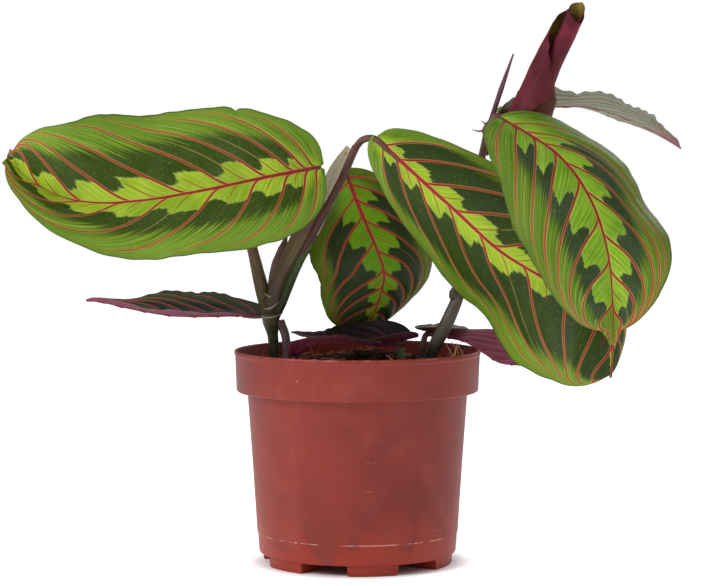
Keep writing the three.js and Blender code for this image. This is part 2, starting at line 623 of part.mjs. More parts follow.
function makeRolledLeaf() {
  const axis = pathOf(ROLL.axis);
  const rows = ROLL.rows;
  const upper = [];
  const lower = [];
  for (let i = 0; i <= rows; i++) {
    const t = Math.min(ROLL.start + ((1 - ROLL.start) * i) / rows, 1);
    const centre = axis.getPointAt(t);
    const along = axis.getTangentAt(t).normalize();
    const toward = new THREE.Vector3(0, -1, 0);
    toward.addScaledVector(along, -toward.dot(along)).normalize();
    const right = new THREE.Vector3().crossVectors(toward, along).negate();
    const top = [];
    const under = [];
    for (let j = 0; j <= ROLL.columns; j++) {
      const u = j / ROLL.columns;
      const angle = rad(smooth(ROLL.seam, t)) + u * ROLL.turns * 2 * Math.PI;
      const radius = smooth(ROLL.radius, t) * (1 - ROLL.tighten * u);
      const out = toward.clone().multiplyScalar(Math.cos(angle)).addScaledVector(right, Math.sin(angle));
      top.push(centre.clone().addScaledVector(out, radius + 0.3));
      under.push(centre.clone().addScaledVector(out, radius - 0.3));
    }
    upper.push(top);
    lower.push(under);
  }
  const roll = sheet(upper, lower);
  const bulb = tube(ROLL.bulb, ROLL.bulbRadius, 8, 14);
  return join(roll, bulb);
}

node("pot", makePot(), 0x9c4a3c, 0.5);
node("soil", makeSoil(), 0x241914, 0.95);
node("stem_left", makeStemLeft(), 0x5a4a38, 0.5);
node("stem_right", makeStemRight(), 0x3a3a2c, 0.5);
node("stem_stub", makeStemStub(), 0x4a5a32, 0.5);

for (const [name, leaf] of Object.entries(LEAVES)) {
  const stalk = stalkInto(leaf, leaf.stalk, leaf.stalkRadius, leaf.stalkSteps);
  node(name, join(blade(leaf), stalk), leaf.colour, 0.4);
}

node("leaf_rolled", makeRolledLeaf(), 0x6c2440, 0.4);
node("leaf_spike", tube(SPIKE.path, SPIKE.radius, 5, 8), 0x4a1c34, 0.4);

export default group;
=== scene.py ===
# Potted prayer plant: patterned leaves on sheathed stems in a round plastic nursery pot.
# The lists of places below are in millimetres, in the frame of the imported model. Blender works in metres.
import math

import bpy
import numpy as np
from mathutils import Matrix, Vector, noise


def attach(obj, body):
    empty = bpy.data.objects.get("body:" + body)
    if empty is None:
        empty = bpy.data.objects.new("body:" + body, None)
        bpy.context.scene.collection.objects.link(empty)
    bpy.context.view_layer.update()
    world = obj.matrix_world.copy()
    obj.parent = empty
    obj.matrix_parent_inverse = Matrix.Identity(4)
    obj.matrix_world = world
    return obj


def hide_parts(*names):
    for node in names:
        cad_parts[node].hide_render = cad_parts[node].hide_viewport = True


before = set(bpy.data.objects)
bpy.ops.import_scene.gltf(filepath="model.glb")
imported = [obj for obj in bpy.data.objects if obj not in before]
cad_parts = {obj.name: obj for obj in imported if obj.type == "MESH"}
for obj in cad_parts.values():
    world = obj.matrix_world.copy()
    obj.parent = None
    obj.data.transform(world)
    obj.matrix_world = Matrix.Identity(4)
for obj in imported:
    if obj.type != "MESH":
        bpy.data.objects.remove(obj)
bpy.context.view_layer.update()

MM = 0.001

# Camera
CAMERA_PLACE = (0.0, -1.244, 0.212)
CAMERA_TILT = 86.3
CAMERA_LENS = 128.9
SENSOR = 36.0

# Pot
POT_HEIGHT = 104.0
RIM_RADIUS = 60.0
BAND_RADIUS = 59.0
BAND_BOTTOM = 84.0
BODY_TOP_RADIUS = 53.7
BODY_FOOT_RADIUS = 48.0
WALL = 1.2
FOOT_COUNT = 6
FOOT_HEIGHT = 5.2
FOOT_OUTER_RADIUS = 46.5
FOOT_INNER_RADIUS = 33.0
FOOT_ANGLE = 31.0
FIRST_FOOT_ANGLE = -80.6
DRAIN_RADIUS = 4.0
DRAIN_CIRCLE = 30.0
MOULD_LINE_Z = 15.0

# Soil
GAP = 0.4
SOIL_EDGE_Z = 96.0
SOIL_CROWN = 2.6
STEM_DEPTH = 22.0

# Leaves
BLADE_THICKNESS = 0.55
MARGIN_THICKNESS = 0.3
NECK = 1.3
TIP = 0.35
OUTLINE_END = 0.965


def add_camera():
    camera = bpy.data.cameras.new("camera")
    camera.lens = CAMERA_LENS
    camera.sensor_width = SENSOR
    camera.clip_start = 0.05
    camera.clip_end = 50
    holder = bpy.data.objects.new("camera", camera)
    holder.location = CAMERA_PLACE
    holder.rotation_euler = (math.radians(CAMERA_TILT), 0, 0)
    bpy.context.scene.collection.objects.link(holder)
    bpy.context.scene.camera = holder


add_camera()


# Colour and shader helpers

def rgb(red, green, blue):
    """A colour as it looks on a screen, 0 to 255, in the linear values that a shader takes."""
    linear = []
    for channel in (red, green, blue):
        c = channel / 255
        linear.append(c / 12.92 if c <= 0.04045 else ((c + 0.055) / 1.055) ** 2.4)
    return (*linear, 1.0)


class Number:
    """A shader socket in sums: an expression on it adds its Math nodes."""

    def __init__(self, paint, socket):
        self.paint = paint
        self.socket = socket

    def math(self, operation, *others):
        return self.paint.add("Math", {"operation": operation}, dict(enumerate((self, *others))))

    def __add__(self, other):
        return self.math("ADD", other)

    def __sub__(self, other):
        return self.math("SUBTRACT", other)

    def __mul__(self, other):
        return self.math("MULTIPLY", other)

    def __rsub__(self, other):
        return self.paint.add("Math", {"operation": "SUBTRACT"}, {0: other, 1: self})

    def __abs__(self):
        return self.math("ABSOLUTE")

    __radd__ = __add__
    __rmul__ = __mul__

    def rise(self, low, high, start=0.0, end=1.0):
        """A smooth rise from start at low to end at high."""
        settings = {"interpolation_type": "SMOOTHSTEP"}
        return self.paint.add("MapRange", settings, {0: self, 1: low, 2: high, 3: start, 4: end})

    def fall(self, low, high):
        return self.rise(low, high, 1.0, 0.0)


class Paint:
    """One material and the method that adds a node to it."""

    def __init__(self, name):
        self.material = bpy.data.materials.new(name)
        self.material.use_nodes = True
        self.tree = self.material.node_tree
        self.tree.nodes.clear()

    def plug(self, value, socket):
        if isinstance(value, Number):
            self.tree.links.new(value.socket, socket)
        else:
            socket.default_value = value

    def add(self, kind, settings=None, sockets=None, out=0):
        """A node of that kind, its settings first and then its sockets' values or links."""
        node = self.tree.nodes.new("ShaderNode" + kind)
        for key, value in (settings or {}).items():
            if key == "stops":
                self.set_stops(node.color_ramp, value)
            else:
                setattr(node, key, value)
        for key, value in (sockets or {}).items():
            self.plug(value, node.inputs[key])
        return Number(self, node.outputs[out])

    @staticmethod
    def set_stops(ramp, stops):
        while len(ramp.elements) < len(stops):
            ramp.elements.new(0.5)
        for element, (place, level) in zip(ramp.elements, stops):
            element.position = place
            element.color = (level, level, level, 1) if isinstance(level, (int, float)) else level

    def read(self, name, out="Fac"):
        return self.add("Attribute", {"attribute_name": name}, out=out)

    def place(self, scale=(1, 1, 1), turn=(0, 0, 0)):
        """Object coordinates in metres, stretched and turned."""
        sockets = {"Vector": self.add("TexCoord", out="Object"), "Scale": scale, "Rotation": turn}
        return self.add("Mapping", sockets=sockets)

    def section(self, scale, shift=(0, 0, 0)):
        """Coordinates that follow a stem: round it in x and y, along it in z, in millimetres."""
        sockets = {"Vector": self.read("section", "Vector"), "Scale": scale, "Location": shift}
        return self.add("Mapping", sockets=sockets)

    def vector(self, x, y, z):
        return self.add("CombineXYZ", sockets={0: x, 1: y, 2: z})

    def parts(self, vector):
        return [self.add("SeparateXYZ", sockets={0: vector}, out=k) for k in range(3)]

    def mix(self, factor, a, b, blend="MIX"):
        settings = {"data_type": "RGBA", "blend_type": blend}
        return self.add("Mix", settings, {0: factor, 6: a, 7: b}, out=2)

    def noise(self, place, scale, detail=2.0, roughness=0.5):
        sockets = {"Vector": place, "Scale": scale, "Detail": detail, "Roughness": roughness}
        return self.add("TexNoise", sockets=sockets)

    def mottle(self, scale, detail=2.0, roughness=0.5):
        """Noise in the object's own coordinates."""
        return self.noise(self.place(), scale, detail, roughness)

    def cells(self, place, scale, out="Distance"):
        return self.add("TexVoronoi", sockets={"Vector": place, "Scale": scale}, out=out)

    def ramp(self, value, stops):
        return self.add("ValToRGB", {"stops": stops}, {0: value})

    def coats(self, ground, *layers):
        """Colours laid over a ground one by one, each as (how much of it, the colour)."""
        for share, colour in layers:
            ground = self.mix(share, ground, colour)
        return ground

    def bump(self, height, strength, distance):
        return self.add("Bump", sockets={"Height": height, "Strength": strength, "Distance": distance})

    def finish(self, colour, roughness, normal=None, **constants):
        """The surface shader. Constants are its own sockets by name, with spaces as low lines."""
        sockets = {"Base Color": colour, "Roughness": roughness}
        sockets.update({key.replace("_", " "): value for key, value in constants.items()})
        if normal is not None:
            sockets["Normal"] = normal
        surface = self.add("BsdfPrincipled", sockets=sockets)
        output = self.tree.nodes.new("ShaderNodeOutputMaterial")
        self.tree.links.new(surface.socket, output.inputs["Surface"])
        return self.material


# Shape helpers

def unit(vectors):
    return vectors / np.maximum(np.linalg.norm(vectors, axis=-1, keepdims=True), 1e-9)


def smooth(stations, t):
    """Evenly spaced stations, blended smoothly, at the places t."""
    v = np.asarray(stations, float)
    x = np.clip(t, 0, 1) * (len(v) - 1)
    i = np.minimum(x.astype(int), len(v) - 2)
    f = x - i
    k = f * f * (3 - 2 * f)
    if v.ndim > 1:
        k = k[..., None]
    return v[i] * (1 - k) + v[i + 1] * k


def linear(stations, t):
    """Evenly spaced stations, joined by straight lines, at the places t."""
    return np.interp(t * (len(stations) - 1), np.arange(len(stations)), stations)


SPAN_STEPS = 60
AHEAD = 0.004


class Path:
    """A smooth line through points, read at shares of its length."""

    def __init__(self, points):
        p = np.asarray(points, float)
        ends = np.vstack([2 * p[0] - p[1], p, 2 * p[-1] - p[-2]])
        u = np.linspace(0, 1, SPAN_STEPS, endpoint=False)[:, None]
        spans = [self.span(ends[i:i + 4], u) for i in range(len(p) - 1)]
        self.places = np.vstack([*spans, p[-1:]])
        steps = np.linalg.norm(np.diff(self.places, axis=0), axis=1)
        self.run = np.concatenate([[0], np.cumsum(steps)])
        self.length = self.run[-1]

    @staticmethod
    def span(four, u):
        """A centripetal spline's places from the second of four points to the third."""
        p0, p1, p2, p3 = four
        d0, d1, d2 = (max(1e-4, np.linalg.norm(b - a)) ** 0.5 for a, b in ((p0, p1), (p1, p2), (p2, p3)))
        t1 = ((p1 - p0) / d0 - (p2 - p0) / (d0 + d1) + (p2 - p1) / d1) * d1
        t2 = ((p2 - p1) / d1 - (p3 - p1) / (d1 + d2) + (p3 - p2) / d2) * d1
        return p1 + t1 * u + (3 * (p2 - p1) - 2 * t1 - t2) * u ** 2 + (2 * (p1 - p2) + t1 + t2) * u ** 3

    def at(self, t):
        want = np.asarray(t, float) * self.length
        return np.stack([np.interp(want, self.run, self.places[:, k]) for k in range(3)], -1)

    def along(self, t):
        """The line's direction, from places a little behind and ahead."""
        return unit(self.at(np.clip(t + AHEAD, 0, 1)) - self.at(np.clip(t - AHEAD, 0, 1)))


def waves(seed, count, low, high):
    """A sum of sines of one variable, always the same for a seed."""
    draw = np.random.default_rng(seed)
    pitch = draw.uniform(low, high, count)
    phase = draw.uniform(0, 2 * math.pi, count)
    size = draw.uniform(0.5, 1.0, count)
    size = size / size.sum()
    return lambda x: sum(k * np.sin(2 * math.pi * n * x + p) for k, n, p in zip(size, pitch, phase))


class Piece:
    """Collects points, faces and painted values, and turns them into one finished object."""

    def __init__(self, name):
        self.name = name
        self.places = []
        self.count = 0
        self.blocks = []

    def points(self, places):
        """Adds a block of points and returns the number of its first."""
        first = self.count
        flat = np.asarray(places, float).reshape(-1, 3)
        self.places.append(flat)
        self.count += len(flat)
        return first

    def faces(self, corners, first, slot=0, **values):
        """Faces by the numbers of a block's points. Each painted value has one entry for each point of it."""
        corners = np.asarray(corners, int)
        painted = {key: np.asarray(value, float)[corners.ravel()] for key, value in values.items()}
        self.blocks.append((corners + first, slot, painted))

    def build(self, materials, node=None):
        """Makes the mesh and puts it in the scene."""
        mesh = bpy.data.meshes.new(self.name)
        places = np.vstack(self.places) * MM
        mesh.vertices.add(len(places))
        mesh.vertices.foreach_set("co", places.astype(np.float32).ravel())
        loops = np.concatenate([c.ravel() for c, _, _ in self.blocks])
        totals = np.concatenate([np.full(len(c), c.shape[1]) for c, _, _ in self.blocks])
        slots = np.concatenate([np.full(len(c), s) for c, s, _ in self.blocks])
        mesh.loops.add(len(loops))
        mesh.loops.foreach_set("vertex_index", loops.astype(np.int32))
        mesh.polygons.add(len(totals))
        starts = np.concatenate([[0], np.cumsum(totals)[:-1]])
        mesh.polygons.foreach_set("loop_start", starts.astype(np.int32))
        mesh.polygons.foreach_set("material_index", slots.astype(np.int32))
        mesh.update(calc_edges=True)
        for key in sorted({k for _, _, painted in self.blocks for k in painted}):
            self.paint_corners(mesh, key)
        mesh.shade_smooth()
        return finished(self.name, mesh, materials, node)

    def paint_corners(self, mesh, key):
        """Stores one painted value on the mesh, and 0 where a block doesn't have it."""
        sample = next(painted[key] for _, _, painted in self.blocks if key in painted)
        wide = sample.shape[1] if sample.ndim > 1 else 1
        column = []
        for corners, _, painted in self.blocks:
            column.append(painted.get(key, np.zeros((corners.size, wide))).reshape(corners.size, wide))
        kind = "FLOAT" if wide == 1 else "FLOAT_VECTOR"
        attribute = mesh.attributes.new(key, kind, "CORNER")
        field = "value" if wide == 1 else "vector"
        attribute.data.foreach_set(field, np.vstack(column).astype(np.float32).ravel())


def finished(name, mesh, materials, node=None):
    """Puts a mesh in the scene as a piece of the plant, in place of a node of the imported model."""
    for material in materials:
        mesh.materials.append(material)
    piece = bpy.data.objects.new(name, mesh)
    bpy.context.scene.collection.objects.link(piece)
    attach(piece, "root")
    if node:
        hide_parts(node)
    return piece


def grid_faces(rows, columns):
    """Quads between rows and columns of points, numbered row by row."""
    i, j = np.meshgrid(np.arange(rows - 1), np.arange(columns - 1), indexing="ij")
    a = (i * columns + j).ravel()
    return np.stack([a, a + 1, a + columns + 1, a + columns], 1)


def ring_faces(rows, sides, flip=False):
    """Quads of a closed ring's rows."""
    i, j = np.meshgrid(np.arange(rows - 1), np.arange(sides), indexing="ij")
    a = (i * sides + j).ravel()
    b = (i * sides + (j + 1) % sides).ravel()
    quads = np.stack([a, b, b + sides, a + sides], 1)
    return quads[:, ::-1] if flip else quads


def cap_faces(pole, start, sides, flip=False):
    """Triangles that close a ring of points towards a pole."""
    j = np.arange(sides)
    triangles = np.stack([np.full(sides, pole), start + j, start + (j + 1) % sides], 1)
    return triangles[:, ::-1] if flip else triangles


def margin_faces(rows, columns, count):
    """Faces that join the upper grid's border to the lower grid's, whose numbers are higher by count."""
    border = [j for j in range(columns)]
    border += [i * columns + columns - 1 for i in range(1, rows)]
    border += [(rows - 1) * columns + j for j in range(columns - 2, -1, -1)]
    border += [i * columns for i in range(rows - 2, 0, -1)]
    a = np.array(border)
    b = np.roll(a, -1)
    return np.stack([b, a, a + count, b + count], 1)


def add_sheet(piece, top, under, slots, flip=False, **values):
    """A thin closed sheet from the points of its two sides, with a material slot for each."""
    rows, columns = top.shape[:2]
    count = rows * columns
    first = piece.points(np.stack([top, under]))
    both = {key: np.concatenate([value, value]) for key, value in values.items()}
    faces = grid_faces(rows, columns)
    rim = margin_faces(rows, columns, count)
    if flip:
        faces, rim = faces[:, ::-1], rim[:, ::-1]
    piece.faces(faces, first, slots[0], **both)
    piece.faces(faces[:, ::-1] + count, first, slots[1], **both)
    piece.faces(rim, first, slots[0], **both)


# Leaves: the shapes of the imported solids, with veins, relief and a thin margin

# mid is the midrib from base to tip, and face the way the blade faces at even stations of it. width and lift
# are the half widths and the degrees by which they rise, and curl is the bend in them, for the left half and
# the right. full and skew shape the outline: the power of its sine, and how far its belly is off the middle.
# Where an entry has them: follow is how closely the halves turn with the midrib, point a drawn out tip,
# crimp the size of small folds in the margin, nick a tear in it, and spikes the small bracts at the base.

LEAVES = {
    "leaf_left": {
        "mid": [[-18, -16, 193], [-45, -26, 188], [-74, -33, 182], [-102, -37, 177.5],
                [-123, -38, 176.5], [-140, -37, 179.5], [-155, -34, 187.7], [-166.8, -30, 198]],
        "face": [[-0.1, -0.9, 0.35], [-0.1, -0.9, 0.35]],
        "width": [[43.5, 32.3, 29], [35.4, 40.4, 41.4, 46.9, 48.8]], "lift": [[0, 8, 45], [18, 8, 38]],
        "curl": [25, 25], "lobe": [2, 2], "full": [0.34, 0.405], "skew": 0.947, "end": 0.984, "tip": 5.5,
        "follow": 0.6, "wave": [0.8, 1], "waves": 3, "nick": (1, 0.238, 1.5),
        "stalk": [[-52.9, 8.3, 157.6], [-54.2, 9.2, 168], [-49, 6, 182], [-37, -3, 191.5],
                  [-25, -11.5, 194.5]],
        "stalkRadius": [1.7, 1.7, 1.6, 1.4, 0.8], "grid": (170, 46),
    },
    "leaf_centre": {
        "mid": [[-5, 16, 188], [0, 12, 175], [5, 9, 163], [10, 8, 151],
                [13, 9, 140], [10, 12, 126], [3, 18, 110]],
        "face": [[0.1, -1, 0.3], [0, -1, 0.15], [0, -1, 0]],
        "width": [[32, 34, 30], [32, 33, 40]], "lift": [[-4, -38, -52], [-45, 5, 35]], "curl": [30, 30],
        "lobe": [4, 0], "full": [0.5, 0.33], "skew": 0.94, "follow": 0.4, "wave": [0.8, 0.8], "waves": 3,
        "stalk": [[-10, 1, 187.5], [-10.2, 6, 190.5], [-9.2, 12, 193.2], [-7, 16, 192]],
        "stalkRadius": [1.3, 1.4, 1.3, 0.7], "grid": (140, 40),
    },
    "leaf_long": {
        "mid": [[10, -20, 206], [27, -28, 190], [47, -34, 172], [67, -38, 154],
                [88, -41, 141], [107, -44, 130], [118, -46, 116.5], [119, -48, 93.7]],
        "face": [[0.2, -1, 0.3], [0.2, -1, 0.3]],
        "width": [[31, 34, 37, 22, 25], [37, 41, 43, 52, 64]], "lift": [[-6, 15, -34], [-70, -68, 0]],
        "curl": [30, 30], "lobe": [2, 4], "full": [0.32, 0.5], "skew": 1.08, "end": 0.983, "tip": 1,
        "follow": 0.2, "wave": [1, 1], "waves": 3,
        "stalk": [[-0.4, -1.4, 202.9], [2, -5.6, 205.6], [5.2, -11.6, 206.8], [8, -16.6, 206.6]],
        "stalkRadius": [1.7, 1.7, 1.5, 0.8], "grid": (170, 46),
    },
    "leaf_front": {
        "mid": [[69, -18, 216], [82, -31, 208], [93, -41, 200], [103, -50, 188],
                [111, -56, 172], [116, -60, 153], [118, -60, 135], [119.5, -56, 108.5]],
        "face": [[0.3, -0.8, 0.6], [0.2, -1, 0.3], [0.2, -1, 0]],
        "width": [[34, 33.5, 35, 35, 29], [36, 40, 43]], "lift": [[2, -20, -28, 9, 50], [1, -4, 14]],
        "curl": [40, 40], "lobe": [3, 3], "full": [0.41, 0.44], "skew": 1.04, "end": 0.93, "tip": 0.4,
        "point": (0.92, 5), "wave": [1, 1], "waves": 3,
        "spikes": [[[62.2, -22.4, 213.2], [60.4, -21.8, 214.0], [58.9, -21.6, 215.4]],
                   [[60.6, -26, 210.9], [57.6, -26.2, 210.2], [54, -26.5, 211.1]]],
        "stalk": [[64.3, -2.4, 212.9], [65.4, -8, 216.6], [67, -14, 217.6]],
        "stalkRadius": [1.3, 1.4, 1.3, 0.7], "grid": (160, 44),
    },
    "leaf_back": {
        "mid": [[71, 8, 220], [84, 27, 223], [99, 36, 223], [114, 42, 223],
                [127, 48, 220], [143, 57, 214], [158, 66, 207], [168, 73, 200]],
        "face": [[0, 0, 1], [0, 0, 1]],
        "width": [[15, 19, 11], [12, 17, 12]], "lift": [[-3, 3, 4], [62, 18, 9]], "curl": [-15, -25],
        "lobe": [2, 3], "full": [0.42, 0.6], "skew": 0.9, "wave": [0.6, 1.2], "crimp": 0.28, "waves": 4,
        "stalk": [[65.4, 1.6, 213], [68.4, 4.8, 217.6], [69.8, 6.4, 219.4]],
        "stalkRadius": [1.2, 1.3, 1.2, 0.7], "grid": (150, 34),
    },
    "leaf_low_left": {
        "mid": [[-48, 2, 121], [-58, 6, 121], [-77, 11, 120], [-92, 15, 120],
                [-107, 18, 122], [-118, 20, 124], [-127, 21, 126], [-136.5, 22.4, 126.6]],
        "face": [[0, 0, 1], [0, 0, 1]],
        "width": [[18, 20, 15], [22, 25, 14]], "lift": [[6, 11, 20], [20, 25, 6]], "curl": [10, -20],
        "lobe": [1, 1], "full": [0.5, 0.42], "skew": 0.86, "tip": 2.0, "wave": [0.4, 0.8], "waves": 3,
        "stalk": [[-44.2, 0.8, 119.4], [-46.6, 1.6, 120.4]],
        "stalkRadius": [1.2, 1.2, 1, 0.6], "grid": (120, 30),
    },
    "leaf_low_front": {
        "mid": [[22, -8, 109], [13, -13, 108], [2, -17, 109],
                [-10, -20, 110], [-23, -22, 112], [-33, -23, 115]],
        "face": [[0, 0, 1], [0, 0, 1]],
        "width": [[13, 14, 10], [20, 22, 12]], "lift": [[34, 8, 6], [46, 15, 10]], "curl": [10, -30],
        "lobe": [8, 7], "full": [0.42, 0.55], "skew": 0.82, "wave": [0.4, 0.8], "waves": 2,
        "stalk": [[21.1, -8, 104.6], [22, -7.6, 107.6]],
        "stalkRadius": [1.3, 1.5, 1.1, 0.6], "grid": (110, 30),
    },
    "leaf_low_under": {
        "mid": [[-30, -36, 104], [-28, -37, 107], [-24, -39, 110], [-17, -40, 111],
                [-7, -38, 111], [2, -34, 110], [12, -29, 110]],
        "face": [[0.3, -0.3, 1], [0, -0.2, 1], [0, -0.2, 1]],
        "width": [[4, 4, 3], [9, 8, 6]], "lift": [[20, 20, 20], [35, 35, 30]], "curl": [10, 20],
        "lobe": [0, 0], "full": [0.3, 0.5], "skew": 0.7, "wave": [0.2, 0.4], "waves": 2,
        "stalk": [[-29.6, -36.4, 74], [-29.6, -36.4, 84], [-29.6, -36.4, 95], [-29.6, -36.4, 100]],
        "stalkRadius": [1.5, 1.5, 1.5, 1.4, 1.2, 0.9, 0.6], "grid": (90, 20),
    },
    "leaf_low_right": {
        "mid": [[37, 16, 111], [45, 22, 109], [54, 30, 106], [63, 37, 100],
                [72, 44, 94], [83, 49, 92], [95, 53, 89], [106, 56, 86]],
        "face": [[0, 0, 1], [0, 0, 1]],
        "width": [[20, 22, 15], [18, 22, 15]], "lift": [[14, 32, 20], [16, 22, 20]], "curl": [-10, 15],
        "lobe": [9, 11], "full": [0.45, 0.5], "skew": 0.9, "wave": [0.6, 0.8], "waves": 3,
        "stalk": [[32, 7, 74], [32, 7, 84], [32, 7, 95], [32.2, 8.6, 104], [33.6, 12, 110]],
        "stalkRadius": [1.7, 1.7, 1.7, 1.7, 1.5, 1.3, 0.7], "grid": (120, 32),
    },
}

# joins is where the side veins leave the midrib, as shares of its length. slant is how far they run forward
# to the margin, and gather how much more towards the tip. Each is for the left half, then the right.
EVEN_JOINS = (0.02, 0.07, 0.15, 0.26, 0.39, 0.53, 0.67, 0.8, 0.9)
VEINS = {
    "leaf_left": {"slant": (0.1, 0.24), "gather": (1.0, 1.45), "seed": 3, "joins": (
        (0.015, 0.048, 0.11, 0.21, 0.333, 0.485, 0.63, 0.75, 0.87),
        (0.022, 0.05, 0.092, 0.182, 0.302, 0.432, 0.6, 0.745, 0.88))},
    "leaf_centre": {"slant": (0.26, 0.26), "seed": 11, "joins": (
        (0.01, 0.055, 0.16, 0.292, 0.482, 0.61, 0.72, 0.85),
        (0.035, 0.138, 0.26, 0.427, 0.6, 0.7, 0.8, 0.9))},
    "leaf_long": {"slant": (0.2, 0.28), "seed": 23, "joins": (
        (0.028, 0.092, 0.198, 0.318, 0.468, 0.615, 0.76, 0.88),
        (0.022, 0.08, 0.168, 0.292, 0.417, 0.573, 0.7, 0.82, 0.92))},
    "leaf_front": {"slant": (0.33, 0.26), "seed": 31, "joins": (
        (0.05, 0.12, 0.21, 0.33, 0.46, 0.62, 0.745, 0.87),
        (0.022, 0.077, 0.168, 0.275, 0.415, 0.565, 0.713, 0.85))},
    "leaf_back": {"slant": (0.36, 0.36), "seed": 41, "joins": (EVEN_JOINS, EVEN_JOINS)},
    "leaf_low_left": {"slant": (0.32, 0.32), "seed": 47, "joins": (EVEN_JOINS, EVEN_JOINS)},
    "leaf_low_front": {"slant": (0.28, 0.28), "seed": 53, "joins": (EVEN_JOINS, EVEN_JOINS)},
    "leaf_low_under": {"slant": (0.28, 0.28), "seed": 59, "joins": (EVEN_JOINS, EVEN_JOINS)},
    "leaf_low_right": {"slant": (0.3, 0.3), "seed": 61, "joins": (EVEN_JOINS, EVEN_JOINS)},
}
BLADE_TAIL = 0.01
ROW_CROWDING = 0.6
COLUMN_CROWDING = 0.15
RIPPLE = 0.45
FRILL = 0.5
CRIMPS = 19
NICK_WIDTH = 0.005
LOBE_SHARE = 0.3

# Side veins: how soon their slant grows from the base, where they begin to gather, and how far their starts
# bend back along the midrib, with the share of the half width in which they do
SLANT_GROWTH = 0.25
GATHER_FROM = 0.28
BEND_BACK = 0.022
BEND_WIDTH = 0.05

# Relief of a blade in millimetres, and the widths over which it fades
SWELL = 0.42
GROOVE = (0.3, 0.9)
RIB_GROOVE = (0.35, 1.1)
RIDGE = (0.18, 0.6)
KEEL = (0.9, 0.9)
KEEL_AT_TIP = 0.15


def bell(x, wide):
    return np.exp(-(x / wide) ** 2)


def outline(t, leaf):
    """The half width as a share of its greatest, from base to tip."""
    body = np.clip(t / leaf.get("end", OUTLINE_END), 0, 1) ** leaf["skew"]
    return np.maximum(np.sin(math.pi * body), 1e-9) ** smooth(leaf["full"], t)


def blade_half(leaf, side, t, a, seed):
    """Points of one half of a blade, from the midrib, where a is 0, to the margin, where it is 1."""
    path = Path(leaf["mid"])
    chord = unit(path.at(1.0) - path.at(0.0))
    follow = leaf.get("follow", 1)
    along = unit(path.along(t) * follow + chord * (1 - follow))
    face = smooth(leaf["face"], t)
    face = unit(face - (face * along).sum(-1, keepdims=True) * along)
    across = np.cross(along, face)
    sign = 1 if side else -1
    least = NECK * (1 - t) + leaf.get("tip", TIP) * t
    width = np.maximum(smooth(leaf["width"][side], t) * outline(t, leaf), least)
    if "point" in leaf:
        share, half = leaf["point"]
        width = np.maximum(width, half * np.clip((1 - t) / (1 - share), 0, 1) * (t > 0.5))
    ripple = waves(seed + side, 6, 5, 17)(t) * np.clip(width / 20, 0, 1) * RIPPLE
    curl = math.radians(leaf["curl"][side])
    start = np.radians(smooth(leaf["lift"][side], t)) + curl / 2
    angle = start[:, None] - curl * a
    crimp = leaf.get("crimp", 0) * np.sin(2 * math.pi * CRIMPS * t + 2.5 * np.sin(11 * t))
    crimp = crimp * np.clip(width / 12, 0, 1)
    out = width[:, None] + (ripple + crimp)[:, None] * a ** 6
    nick_side, nick_place, nick_depth = leaf.get("nick", (None, 0, 0))
    if nick_side == side:
        out = out - nick_depth * bell(t - nick_place, NICK_WIDTH)[:, None] * a ** 10
    x = (np.sin(start)[:, None] - np.sin(angle)) / curl * out
    y = (np.cos(angle) - np.cos(start)[:, None]) / curl * out
    lobe = leaf["lobe"][side] * ((1 - np.clip(t / LOBE_SHARE, 0, 1)) ** 2)[:, None] * a ** 1.2
    roll = np.sin(2 * math.pi * (leaf["waves"] * t + 0.37 * side)) * np.sin(math.pi * t)
    y = y + leaf["wave"][side] * roll[:, None] * a ** 3
    frill = waves(seed + 7 + side, 5, 7, 15)(t) * np.sin(math.pi * t) * FRILL
    y = y + (frill + crimp)[:, None] * a ** 5
    sheet = path.at(t)[:, None] + across[:, None] * (sign * x)[..., None]
    return sheet + face[:, None] * y[..., None] - along[:, None] * lobe[..., None]


def vein_numbers(veins, side, t, a):
    """A value that is a whole number along each side vein of that half: 0, 1, 2 from the base to the tip."""
    joins = np.asarray(veins["joins"][side])
    start = np.linspace(-0.6, 1.6, 800)
    slant = veins["slant"][side] / 0.6 * (1 - np.exp(-(np.maximum(start, 0) + 0.01) / SLANT_GROWTH))
    slant = slant + veins.get("gather", (0, 0))[side] * np.maximum(start - GATHER_FROM, 0)
    number = np.interp(start, joins, np.arange(len(joins)))
    first, last = joins[1] - joins[0], joins[-1] - joins[-2]
    number = np.where(start < joins[0], (start - joins[0]) / max(first, 0.04), number)
    number = np.where(start > joins[-1], len(joins) - 1 + (start - joins[-1]) / last, number)
    bend = BEND_BACK * np.exp(-a / BEND_WIDTH)
    run = -np.log(np.maximum(1 - a, 0.02)) * (1 + 0.5 * a)
    left = 1 - start
    rows = [np.interp(t + back, 1 - left * np.exp(-slant * far), number) for back, far in zip(bend, run)]
    return np.stack(rows, 1)


def vein_spacing(points, q):
    """Millimetres from vein to vein: the inverse of the vein number's slope on the surface."""
    du = np.gradient(points, axis=0)
    dv = np.gradient(points, axis=1)
    qu = np.gradient(q, axis=0)
    qv = np.gradient(q, axis=1)
    e = (du * du).sum(-1)
    f = (du * dv).sum(-1)
    g = (dv * dv).sum(-1)
    slope = (g * qu ** 2 - 2 * f * qu * qv + e * qv ** 2) / np.maximum(e * g - f * f, 1e-9)
    return 1 / np.sqrt(np.maximum(slope, 1e-6))


